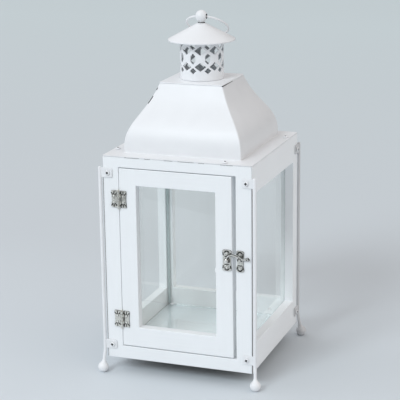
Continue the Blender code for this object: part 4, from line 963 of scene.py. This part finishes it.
def make_cap(paint):
    """The conical cap with its turned-down lip."""
    bore = FINIAL_STEM_RADIUS + HOLE_CLEARANCE
    drop = SHEET * math.sqrt(1 + CAP_SLOPE**2)
    inner = CAP_RADIUS - SHEET
    corners = [
        (bore, CAP_RISE),
        (CAP_CROWN_RADIUS, CAP_RISE),
        (CAP_RADIUS, 0),
        (CAP_RADIUS, -CAP_LIP),
        (inner, -CAP_LIP),
        (inner, CAP_RISE - (inner - CAP_CROWN_RADIUS) * CAP_SLOPE - drop),
        (CAP_CROWN_RADIUS - (drop - SHEET) / CAP_SLOPE, CAP_RISE - SHEET),
        (bore, CAP_RISE - SHEET),
    ]
    mesh = turned_mesh(softened(corners, mm(0, 2, 0.8, 0.3, 0.3, 0.2, 0, 0), 5), COLLAR_STEPS, closed=True)
    add_piece("vent_cap", coloured(smooth(moved(mesh, (0, 0, CAP_RIM)), 40), paint), ["cap"])


def make_finial(paint, shade_and_wear):
    """The ball finial, its foot on the cap's crown, with the bore that carries the ring. The bore and a ring
    at its foot are dark, both as painted shade.
    """
    foot = -FINIAL_FOOT_RISE + GAP
    tip = -FINIAL_FOOT_RISE - SHEET - GAP - NUT_HEIGHT - STEM_PAST_NUT
    foot_angle = math.degrees(math.asin(FINIAL_FOOT_RADIUS / FINIAL_RADIUS))
    ball = arc((0, 0), FINIAL_RADIUS, 90, foot_angle - 90, 40)
    ball[0] = (0, FINIAL_RADIUS)
    stem = [(FINIAL_FOOT_RADIUS, foot), (FINIAL_STEM_RADIUS, foot), (FINIAL_STEM_RADIUS, tip), (0, tip)]
    mesh = coloured(turned_mesh(ball + stem, 64), paint)
    reach = Vector((2 * FINIAL_RADIUS, 0, 0))
    # the bore is painted dark: painted shade
    bore = coloured(round_holes_mesh([(-reach, reach, RING_HOLE_RADIUS)], 48), shade_and_wear)
    add_piece("ball_finial", smooth(combined(mesh, bore), 35), ["finial"], place=FINIAL_MIDDLE)
    # a ring of painted shade where the foot meets the cap
    corners = rectangle(FINIAL_STEM_RADIUS, FINIAL_FOOT_RADIUS + FINIAL_FOOT_SHADE, foot, foot + FINIAL_FOOT_SHADE)
    crevice_shade = turned_mesh(softened(corners, mm(0, 0, 0.2, 0), 3), 48, closed=True)
    add_piece("finial_foot_shade", smooth(coloured(crevice_shade, shade_and_wear), 40), place=FINIAL_MIDDLE)


def make_ring(paint):
    """The carrying ring at rest on the cap."""
    wire = circle((RING_RADIUS, 0), RING_WIRE_RADIUS, 20)
    mesh = moved(turned_mesh(wire, 128, closed=True), (0, RING_RADIUS, 0))
    tilt = rotation(-RING_TILT, "X")
    mesh = coloured(smooth(mesh, 60), paint)
    add_piece("ring_wire", mesh, ["carry_ring"], "ring", place=FINIAL_MIDDLE, turn=tilt)


# Corner rods

def foot_mesh(centre, axis):
    """The teardrop ball foot."""
    ball = arc((0, 0), FOOT_RADIUS, 90 - FOOT_NECK_ANGLE, -90, 24)
    ball[-1] = (0, -FOOT_RADIUS)
    neck = bezier((ROD_RADIUS, FOOT_NECK_RISE), mm(0, -3), mm(-1.6, 1.5), ball[0], 12)
    return moved(turned_mesh([(0, FOOT_NECK_RISE)] + neck[:-1] + ball, 40), centre, turn_to(axis))


def tab_mesh(side, height):
    """A flattened tab that runs from the rod over the frame, with its screw hole."""
    corners = rectangle(-TAB_REACH, ROD_STANDOFF + ROD_RADIUS, -TAB_HEIGHT / 2, TAB_HEIGHT / 2)
    outline = softened(corners, [TAB_CORNER, 0, 0, TAB_CORNER], 8)
    hole = circle((-TAB_SCREW_INSET, 0), SCREW_RADIUS + HOLE_CLEARANCE)
    mesh = plate_mesh([outline, hole], -GAP - TAB_THICKNESS, -GAP, SHEET_EDGE)
    return moved(mirrored(mesh) if side < 0 else mesh, (0, 0, height))


def rod_mesh(side):
    """A bent rod with its two tabs and its ball foot, in one."""
    upright = Vector((side * (ROD_STANDOFF + ROD_RADIUS), -GAP - TAB_THICKNESS / 2, 0))
    foot = Vector((side * FOOT_OFFSET, -FOOT_OFFSET, FOOT_RADIUS - FOOT_FLAT_DEPTH))
    up = Vector((0, 0, 1))
    bend = upright + up * (BODY_LIFT + LOWER_TAB_RISE - ROD_BEND_DROP)
    top = upright + up * (FRAME_TOP - ROD_TOP_DROP)
    lean = (bend - foot).normalized()
    points = [top - up * drop for drop in ROD_END_DROPS]
    ends = (bend + up * ROD_BEND_REACH, bend - lean * ROD_BEND_REACH)
    points += bezier(ends[0], up * -ROD_BEND_HANDLE, lean * ROD_BEND_HANDLE, ends[1], 8)
    points.append(foot + lean * FOOT_NECK_RISE * 0.6)
    shares = ROD_END_SHARES + [1.0] * (len(points) - len(ROD_END_SHARES))
    settings = {"dimensions": "3D", "bevel_depth": ROD_RADIUS, "bevel_resolution": 6, "use_fill_caps": True}
    mesh = combined(curve_mesh([points], shares, **settings), foot_mesh(foot, lean), "UNION")
    for height in TAB_HEIGHTS:
        mesh = combined(mesh, tab_mesh(side, height), "UNION")
    ground = prism(circle(foot.to_2d(), 3 * FOOT_RADIUS), 2, -3 * FOOT_RADIUS, 0)
    return smooth(combined(mesh, lofted_mesh([ground])), 35)


def make_corner_shade(shade_and_wear):
    """Painted shade: thin dark strips in the open mitres of the front corners, behind the rods."""
    near = HALF_BODY - CORNER_SHADE_WIDTH
    edge = HALF_BODY + INLAY
    shade_strips = []
    for side in (-1, 1):
        corners = [(side * x, y) for x, y in ((near, -edge), (edge, -near), (near, -near))]
        shade_strips.append(prism(corners, 2, BODY_LIFT + EDGE_ROUND, TAB_HEIGHTS[1]))
    add_piece("corner_mitre_shade", coloured(lofted_mesh(shade_strips), shade_and_wear), slot="painted_wood")


def make_rods(paint, shaded_paint, recess):
    """The four corner rods and their painted tab screws, and the screws of the roof. The rear right rod gets
    a darker copy of the paint, as painted shade.
    """
    screw = screw_mesh(paint, recess)
    shapes = {side: rod_mesh(side) for side in (-1, 1)}
    for name, side, (x, y), degrees, twists in CORNERS:
        turn = rotation(degrees)
        place = Vector((x * HALF_BODY, y * HALF_BODY, 0))
        # the rear right rod's darker paint is painted shade
        rod = coloured(shapes[side].copy(), shaded_paint if name == "rear_right" else paint)
        add_piece(name + "_rod_bent", rod, [name + "_rod"], place=place, turn=turn)
        for level, height, twist in zip(("lower", "upper"), TAB_HEIGHTS, twists):
            seat = place + turn @ Vector((-side * TAB_SCREW_INSET, -TAB_THICKNESS - 2 * GAP, height))
            add_screw(f"{name}_{level}_screw", screw, seat, turn @ FACING @ rotation(twist))
    for (name, twist), place in zip(ROOF_SCREWS.items(), roof_screw_places()):
        add_screw(f"roof_{name}_screw", screw, place + Vector((0, 0, FLANGE_TOP + GAP)), rotation(twist))


def add_screw(node, screw, seat, turn):
    add_piece(node + "_head", screw.copy(), [node], place=seat, turn=turn)


def screw_mesh(paint, recess):
    """A pan-head screw with a cross recess, head up, its seat at the origin."""
    corners = [(0, SCREW_HEAD_HEIGHT), (SCREW_HEAD_RADIUS, SCREW_HEAD_HEIGHT), (SCREW_HEAD_RADIUS, 0)]
    head = softened(corners, [0, SCREW_HEAD_HEIGHT * 0.85, 0], 8, closed=False)
    shank = [(SCREW_RADIUS, 0), (SCREW_RADIUS, -SCREW_LENGTH + SCREW_RADIUS), (0, -SCREW_LENGTH)]
    mesh = coloured(turned_mesh(head + shank, 32), paint)
    long = CROSS_SPAN / 2
    short = CROSS_WIDTH / 2
    arm = [(long, short), (short, short), (short, long)]
    outline = []
    for _ in range(4):
        outline += arm
        arm = [(-y, x) for x, y in arm]
    # the cross recess is painted dark: painted shade
    cross = prism(outline, 2, SCREW_HEAD_HEIGHT - CROSS_DEPTH, SCREW_HEAD_HEIGHT + OVERCUT)
    return smooth(combined(mesh, coloured(lofted_mesh([cross]), recess)), 35)


def make_sealant(material):
    """Dabs of the white sealant that holds the panes."""
    for name, body, place, size in SEALANT_DABS:
        shape = bmesh.new()
        bmesh.ops.create_icosphere(shape, subdivisions=3, radius=1.0)
        for vertex in shape.verts:
            x, y, z = vertex.co
            lump = 1 + SEALANT_LUMPS * math.sin(5 * x + 3 * z) * math.cos(4 * y)
            vertex.co = Vector([axis * lump * span for axis, span in zip(vertex.co, size)])
        add_piece(name, coloured(smooth(mesh_of(shape), 60), material), body=body, place=place)


def make_corner_bead(material):
    """The bead of old sealant in the rear left corner, between its two panes."""
    near, far, low, high = BEAD
    bead = prism([(-far, far), (-far, near), (-near, far)], 2, low, high)
    add_piece("corner_bead", coloured(lofted_mesh([bead]), material), slot="painted_wood")


# Hinges and clasp

def slot_outline(start, end, radius):
    """A slot with round ends between two points."""
    start = Vector(start)
    end = Vector(end)
    heading = math.degrees(math.atan2(end.y - start.y, end.x - start.x))
    far_end = arc(end, radius, heading - 90, heading + 90, 6)
    return far_end + arc(start, radius, heading + 90, heading + 270, 6)


def fan_of_slots(centre, end, angles, near, far, radius):
    """Slots that spread from a nail, towards the plate's upper or lower end."""
    centre = Vector(centre)
    slots = []
    for angle in angles:
        turn = math.radians(angle)
        heading = Vector((math.sin(turn), end * math.cos(turn)))
        slots.append(slot_outline(centre + heading * near, centre + heading * far, radius))
    return slots


def inlaid_mesh(outlines, face, patina):
    """Tarnish in the strokes of the ornament, level with an upright plate's front."""
    strokes = [prism(outline, 1, face - INLAY, face + INLAY) for outline in outlines]
    return coloured(lofted_mesh(strokes), patina)


def drawn_in(points, amount):
    """An outline shrunk towards the middle of its box."""
    xs = [point[0] for point in points]
    ys = [point[1] for point in points]
    middle = Vector(((min(xs) + max(xs)) / 2, (min(ys) + max(ys)) / 2))
    shares = Vector((1 - 2 * amount / (max(xs) - min(xs)), 1 - 2 * amount / (max(ys) - min(ys))))
    return [middle + (Vector(point) - middle) * shares for point in points]


def hinge_leaf_mesh(side, first_knuckle, nickel, patina):
    """A pierced leaf over a tarnished backing, with every second knuckle. On the door's leaf a strip of
    painted shadow lies beside the knuckles.
    """
    inner = HINGE_LEAF_START
    outer = HINGE_LEAF_WIDTH
    half = HINGE_HEIGHT / 2
    shoulder = half * HINGE_SHOULDER
    sag = half - shoulder
    waist = bezier((outer, -shoulder), (-HINGE_WAIST, sag), (-HINGE_WAIST, -sag), (outer, shoulder), 16)
    lower = softened([(inner, -half), (outer, -half), (outer, -shoulder)], HINGE_CORNER, 5, closed=False)
    upper = [Vector((point.x, -point.y)) for point in reversed(lower)]
    outline = lower[:-1] + waist + upper[1:]
    # on the door's leaf the bright face stops short of the knuckles, baring the backing as painted shadow
    crevice_shade = Vector((HINGE_SHADOW_GAP if side > 0 else 0, 0))
    bright = [outline[0] + crevice_shade] + outline[1:-1] + [outline[-1] + crevice_shade]
    outlines = [drawn_in(bright, TARNISHED_RIM)]
    strokes = []
    for end in (-1, 1):
        nail = (HINGE_NAIL_OFFSET, end * HINGE_NAIL_SPREAD)
        outlines += fan_of_slots(nail, end, *HINGE_SLOTS)
        outlines.append(circle(nail, NAIL_HALO))
        strokes += fan_of_slots(nail, end, *HINGE_STROKES)
    # painted shadow beside the knuckles, on the door's leaf only
    if side > 0:
        near = inner + HINGE_SHADOW_GAP
        strokes.append(drawn_in(rectangle(near, near + HINGE_SHADOW_STRIP, -half, half), TARNISHED_RIM))
    front = KNUCKLE_RADIUS - HINGE_SHEET
    middle = KNUCKLE_RADIUS - HINGE_SHEET * (1 - FACE_SHARE)
    plate = coloured(plate_mesh(outlines, front, middle), nickel)
    backing = coloured(plate_mesh([outline], middle - LAP, KNUCKLE_RADIUS), patina)
    shapes = [plate, backing, inlaid_mesh(strokes, front, patina)]
    pitch = (HINGE_HEIGHT + GAP) / KNUCKLE_COUNT
    root = [KNUCKLE_RADIUS - HINGE_SHEET * 0.95, KNUCKLE_RADIUS - KNUCKLE_INSET]
    stop, start = (math.degrees(math.asin(height / KNUCKLE_RADIUS)) for height in root)
    roll = [Vector((inner + KNUCKLE_ROOT, height)) for height in root]
    roll += arc((0, 0), KNUCKLE_RADIUS, start, 360 + stop, 32)
    bore = circle((0, 0), HINGE_PIN_RADIUS + HOLE_CLEARANCE)
    for index in range(first_knuckle, KNUCKLE_COUNT, 2):
        low = -half + index * pitch
        knuckle = plate_mesh([roll, bore], low, low + pitch - GAP, upright=False)
        shapes.append(coloured(knuckle, nickel))
    mesh = joined(shapes)
    return smooth(mirrored(mesh) if side < 0 else mesh, 35)


def hinge_pin_mesh():
    """The pin with a small turned tip at each end."""
    shoulder = HINGE_HEIGHT / 2 + GAP
    tip = shoulder + PIN_TIP_HEIGHT
    upper = [(0, tip)] + arc((0, tip - 0.9 * PIN_TIP_RADIUS), PIN_TIP_RADIUS * 0.9, 75, -30, 8)
    upper += [(PIN_TIP_RADIUS, shoulder + PIN_TIP_FOOT), (PIN_TIP_RADIUS, shoulder)]
    upper.append((HINGE_PIN_RADIUS, shoulder))
    lower = [(radius, -height) for radius, height in reversed(upper)]
    return smooth(turned_mesh(upper + lower, 24), 35)


def nail_mesh():
    """A round-headed nail, head up, its seat at the origin."""
    length = HINGE_SHEET + NAIL_DEPTH
    head = bezier((0, NAIL_HEAD_HEIGHT), mm(0.6, 0), mm(0, 0.3), (NAIL_HEAD_RADIUS, 0), 8)
    shank = [(NAIL_RADIUS, 0), (NAIL_RADIUS, -length + 2 * NAIL_RADIUS), (0, -length)]
    return smooth(turned_mesh(head + shank, 20), 35)


def add_nails(prefix, nail, body, seat, spread):
    """A nail above and below the middle of a plate."""
    for end, rise in (("top", spread), ("bottom", -spread)):
        node = f"{prefix}_nail_{end}"
        place = Vector(seat) + Vector((0, 0, rise))
        add_piece(node + "_round", nail.copy(), [node], body, "hardware", place, FACING)


def make_hinges(nickel, patina, bright):
    """The hinges: their pierced leaves, turned pins and bright nails."""
    leaves = (
        ("frame", hinge_leaf_mesh(-1, 0, nickel, patina), "lantern", -1),
        ("door", hinge_leaf_mesh(1, 1, nickel, patina), "door", 1),
    )
    pin = coloured(hinge_pin_mesh(), nickel)
    nail = coloured(nail_mesh(), bright)
    for level, middle in HINGE_MIDDLES.items():
        place = Vector((HINGE_X, HINGE_Y, middle))
        for leaf, mesh, body, side in leaves:
            prefix = f"{level}_hinge_{leaf}"
            node = prefix + "_leaf"
            add_piece(node + "_pierced", mesh.copy(), [node], body, "hardware", place)
            seat = (HINGE_X + side * HINGE_NAIL_OFFSET, NAIL_SEAT_Y, middle)
            add_nails(prefix, nail, body, seat, HINGE_NAIL_SPREAD)
        node = f"{level}_hinge_pin"
        add_piece(node + "_turned", pin.copy(), [node], "lantern", "hardware", place)


def lobed_outline(width):
    """A clasp plate's outline, with hollow sides and swelling ends."""
    x = width / 2
    z = CLASP_PLATE_HEIGHT / 2
    corner = z - CLASP_CREST
    right = bezier((x, -corner), (-CLASP_WAIST, corner * 0.7), (-CLASP_WAIST, -corner * 0.7), (x, corner), 16)
    top = bezier((x, corner), (-0.1 * x, CLASP_CREST), (0.6 * x, 0), (0, z), 10)
    quarter = right + top[1:]
    turned_about = [Vector((-point.x, -point.y)) for point in quarter]
    top_left = [Vector((-point.x, point.y)) for point in reversed(top[1:-1])]
    bottom_right = [Vector((-point.x, -point.y)) for point in top_left]
    return quarter + top_left + turned_about + bottom_right


def clasp_plate_mesh(width, eye, nickel, patina):
    """A pierced clasp plate over a tarnished backing, with or without an eye for the hook's pivot. With the
    eye comes a painted shadow arc under the hook.
    """
    outline = lobed_outline(width)
    holes = [circle((0, 0), PIVOT_RADIUS + HOLE_CLEARANCE)] if eye else []
    slots = list(holes)
    strokes = []
    half_bar, rise, bar_radius = CLASP_BAR
    for end in (-1, 1):
        nail = (0, end * CLASP_NAIL_SPREAD)
        holes.append(circle(nail, NAIL_RADIUS + HOLE_CLEARANCE))
        slots.append(circle(nail, NAIL_HALO))
        slots += fan_of_slots(nail, end, *CLASP_SLOTS)
        slots.append(slot_outline((-half_bar, end * rise), (half_bar, end * rise), bar_radius))
        for angle in CLASP_DOTS:
            turn = math.radians(angle)
            away = Vector((math.cos(turn), -end * math.sin(turn))) * CLASP_DOT_REACH
            slots.append(circle(Vector(nail) + away, CLASP_DOT_RADIUS, 12))
        strokes += fan_of_slots(nail, end, *CLASP_STROKES)
        for side in (-1, 1):
            ends = [(side * (width / 2 - inset), end * height) for inset, height in RIM_STROKE]
            strokes.append(slot_outline(*ends, RIM_STROKE_RADIUS))
    # painted shadow: an arc cut through the bright face under the hook's arch
    if eye:
        near, far, start, stop = PIVOT_SHADOW_ARC
        slots.append(arc((0, 0), far, start, stop, 24) + arc((0, 0), near, stop, start, 24))
    middle = CLASP_SHEET * FACE_SHARE
    front = coloured(plate_mesh([drawn_in(outline, TARNISHED_RIM)] + slots, 0, middle), nickel)
    backing = coloured(plate_mesh([outline] + holes, middle - LAP, CLASP_SHEET), patina)
    return joined([front, backing, inlaid_mesh(strokes, 0, patina)])


def ribbon_outline(points, half_widths):
    """An outline that follows points at a changing width, with round ends."""
    left = []
    right = []
    for index, point in enumerate(points):
        before = points[max(index - 1, 0)]
        after = points[min(index + 1, len(points) - 1)]
        ahead = (after - before).normalized()
        across = Vector((-ahead.y, ahead.x)) * half_widths[index]
        left.append(point + across)
        right.append(point - across)
    end_cap = round_end(points[-1], right[-1], half_widths[-1])
    start_cap = round_end(points[0], left[0], half_widths[0])
    return right + end_cap + list(reversed(left)) + start_cap


def round_end(centre, first, radius):
    heading = math.degrees(math.atan2(first.y - centre.y, first.x - centre.x))
    return arc(centre, radius, heading, heading + 180, 12)[1:-1]


def hook_mesh(nickel, patina):
    """The swing hook: eye, arched band, lobe over the stud and knob. A dark middle layer between two bright
    faces shows round them as a painted shadow outline, and dark spots paint shade on the lobe and a
    reflection on the knob.
    """
    eye = Vector((0, 0))
    lobe = Vector((HOOK_REACH, HOOK_STUD_RISE + HOOK_LOBE_RADIUS * 0.4))
    knob = Vector((HOOK_REACH + HOOK_OVERREACH, HOOK_KNOB_RISE))
    arch = bezier(eye, HOOK_EYE_HANDLE, HOOK_LOBE_HANDLE, lobe, 40)
    neck = bezier(lobe, (HOOK_OVERREACH * 0.3, 0), (-HOOK_OVERREACH * 0.3, -HOOK_NECK_DIP), knob, 20)
    points = arch + neck[1:]
    discs = ((eye, HOOK_EYE_RADIUS), (lobe, HOOK_LOBE_RADIUS), (knob, HOOK_KNOB_RADIUS))
    hole = circle(eye, PIVOT_RADIUS + HOLE_CLEARANCE)
    shared = HOOK_SHEET * HOOK_FACE_SHARE
    rear = HOOK_SHEET * HOOK_REAR_SHARE
    # the dark middle layer is wider than the bright faces and shows round them as a painted shadow outline
    layers = (
        (HOOK_SHADOW_RIM, 0, shared, nickel),
        (0, shared - LAP, rear, patina),
        (HOOK_SHADOW_RIM, rear - LAP, HOOK_SHEET, nickel),
    )
    shapes = []
    for inset, front, back, material in layers:
        half_widths = []
        for point in points:
            half_width = HOOK_BAND / 2 - inset
            for centre, radius in discs:
                inside = (radius - inset) ** 2 - (point - centre).length_squared
                half_width = max(half_width, math.sqrt(max(inside, 0)))
            half_widths.append(half_width)
        sheet = coloured(plate_mesh([ribbon_outline(points, half_widths), hole], front, back), material)
        notch_radius = STUD_RADIUS + GAP + 1.3 * inset
        notch = slot_outline((HOOK_REACH, HOOK_STUD_RISE), (HOOK_REACH, -3 * HOOK_LOBE_RADIUS), notch_radius)
        cutter = coloured(plate_mesh([notch], -OVERCUT, HOOK_SHEET + OVERCUT), material)
        shapes.append(combined(sheet, cutter))
    # dark spots: painted shade on the lobe, painted reflection on the knob
    painted_dark_spots = [circle(lobe + Vector(spot), LOBE_SHADE_SPOT_RADIUS, 12) for spot in LOBE_SHADE_SPOTS]
    painted_dark_spots += [circle(knob + Vector(spot), KNOB_REFLECTION_SPOT_RADIUS, 12) for spot in KNOB_REFLECTION_SPOTS]
    shapes.append(inlaid_mesh(painted_dark_spots, 0, patina))
    return smooth(joined(shapes), 35)


def rivet_mesh():
    """The hook's pivot, head up, with the shoulder that spaces the hook off its plate."""
    shoulder = -HOOK_SHEET - 2 * GAP
    plate = shoulder - (PLATE_FRONT - HOOK_BACK) + 2 * GAP
    tip = plate - CLASP_SHEET - PIVOT_DEPTH
    head = bezier((0, PIVOT_HEAD_HEIGHT), mm(1.2, 0), mm(0, 0.5), (PIVOT_HEAD_RADIUS, 0), 10)
    stem = [(PIVOT_RADIUS, 0), (PIVOT_RADIUS, shoulder), (PIVOT_SHOULDER_RADIUS, shoulder)]
    stem += [(PIVOT_SHOULDER_RADIUS, plate), (PIVOT_RADIUS, plate), (PIVOT_RADIUS, tip), (0, tip)]
    return smooth(turned_mesh(head + stem, 32), 35)


def stud_mesh():
    """The catch plate's stud, on the plate's front, pointing to -Y."""
    length = PLATE_FRONT - HOOK_FRONT + STUD_PROUD
    corners = [(0, length), (STUD_RADIUS, length), (STUD_RADIUS, -STUD_ROOT), (0, -STUD_ROOT)]
    mesh = turned_mesh(softened(corners, mm(0, 0.4, 0, 0), 4, closed=False), 28)
    return moved(mesh, (0, 0, HOOK_STUD_RISE), FACING)


def make_clasp(nickel, plate_nickel, patina):
    """The clasp plates, the hook on its rivet, the stud and the nails."""
    door_plate = clasp_plate_mesh(CLASP_PLATE_WIDTH, True, plate_nickel, patina)
    catch_plate = clasp_plate_mesh(CATCH_PLATE_WIDTH, False, plate_nickel, patina)
    catch_plate = smooth(joined([catch_plate, coloured(stud_mesh(), nickel)]), 35)
    hook = hook_mesh(nickel, patina)
    rivet = coloured(rivet_mesh(), nickel)
    fittings = (
        ("door_plate_pierced", door_plate, "clasp_door_plate", "door", CLASP_PLATE_X, PLATE_FRONT),
        ("catch_plate_pierced", catch_plate, "clasp_catch_plate", "lantern", CATCH_PLATE_X, PLATE_FRONT),
        ("swing_hook", hook, "clasp_hook", "hook", CLASP_PLATE_X, HOOK_FRONT),
        ("hook_rivet", rivet, "clasp_rivet", "door", CLASP_PLATE_X, HOOK_FRONT - GAP, FACING),
    )
    for name, mesh, node, body, x, y, *turn in fittings:
        add_piece(name, mesh, [node], body, "hardware", (x, y, CLASP_MIDDLE), *turn)
    nail = coloured(nail_mesh(), nickel)
    for plate, body, x in (("door", "door", CLASP_PLATE_X), ("catch", "lantern", CATCH_PLATE_X)):
        seat = (x, PLATE_FRONT - GAP, CLASP_MIDDLE)
        add_nails("clasp_" + plate, nail, body, seat, CLASP_NAIL_SPREAD)


# CAD nodes

def dress(node, material):
    """Gives a CAD node its material."""
    coloured(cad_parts[node].data, material)


def dress_cad(nickel):
    """Paints the wooden pieces, glazes the panes and plates the nut."""
    # a frame's tone above 1 brightens its paint: painted light
    for index, (node, (axis, edge, tone)) in enumerate(FRAME_LOOKS.items()):
        bare_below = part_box(node)[0].z + RAW_BOARD_RISE if node == "floor_board" else -1.0
        dress(node, paint_on_wood(node + "_paint", axis, edge, 0.13 * index, tone, bare_below))
    for node, axis in (("left_pane", 0), ("right_pane", 0), ("back_pane", 1), ("door_pane", 1)):
        dress(node, window_glass(node, axis, GLASS))
    dress("floor_glass", window_glass("floor_glass", 2, FLOOR_GLASS))
    dress("finial_nut", nickel)


def make_door_leaf():
    """The door with the slant of its free edge, which grows towards the top."""
    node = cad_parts["door_frame"]
    door = node.data.copy()
    door.transform(node.matrix_world)
    low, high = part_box("door_frame")
    for vertex in door.vertices:
        if vertex.co.x > high.x - CORNER_REACH and vertex.co.y < low.y + CORNER_REACH:
            vertex.co.x -= DOOR_DRAFT * (vertex.co.z - low.z) / (high.z - low.z)
    add_piece("door_leaf", door, ["door_frame"], "door", "painted_wood")


def make_pieces():
    """The fine pieces, each in place of its plain CAD node."""
    sheet = paint_on_metal("sheet_paint")
    # a brighter copy of the sheet paint for the top plate and the collar: painted light
    lit_sheet = paint_on_metal("lit_vent_paint", seed=1.0, tone=1.07)
    iron = paint_on_metal("iron_paint", wave=0.1, seed=3.0, tone=1.03)
    nickel = nickel_plate("nickel", NICKEL, 0.5)
    patina = dark_metal("patina", PATINA)
    # recess: painted shade in recesses, seams and gaps, and bare metal in the roof's paint chips
    recess = dark_metal("recess_shade_and_wear", RECESS_SHADE_AND_WEAR)
    dress_cad(nickel)
    make_door_leaf()
    make_roof_skin(sheet)
    make_flange_shade_and_chips(recess)
    make_top_plate(lit_sheet, recess)
    make_collar(lit_sheet, dark_metal("vent_inside_shade", VENT_INSIDE_SHADE))
    make_cap(sheet)
    make_finial(sheet, recess)
    make_ring(iron)
    make_corner_shade(recess)
    # the second, darker copy of the rod paint is painted shade
    make_rods(iron, paint_on_metal("shaded_iron_paint", wave=0.1, seed=3.0, tone=0.8), recess)
    make_sealant(paint_on_metal("sealant", wave=0.1, seed=5.0, tone=1.12))
    make_corner_bead(dark_metal("old_sealant", BEAD_COLOUR))
    make_hinges(nickel_plate("dull_nickel", DULL_NICKEL), patina, nickel)
    make_clasp(nickel, nickel_plate("plate_nickel", PLATE_NICKEL), patina)


scene.view_settings.view_transform = "Standard"
make_camera()
make_floor()
make_card()
make_world()
make_key_light()
make_pieces()
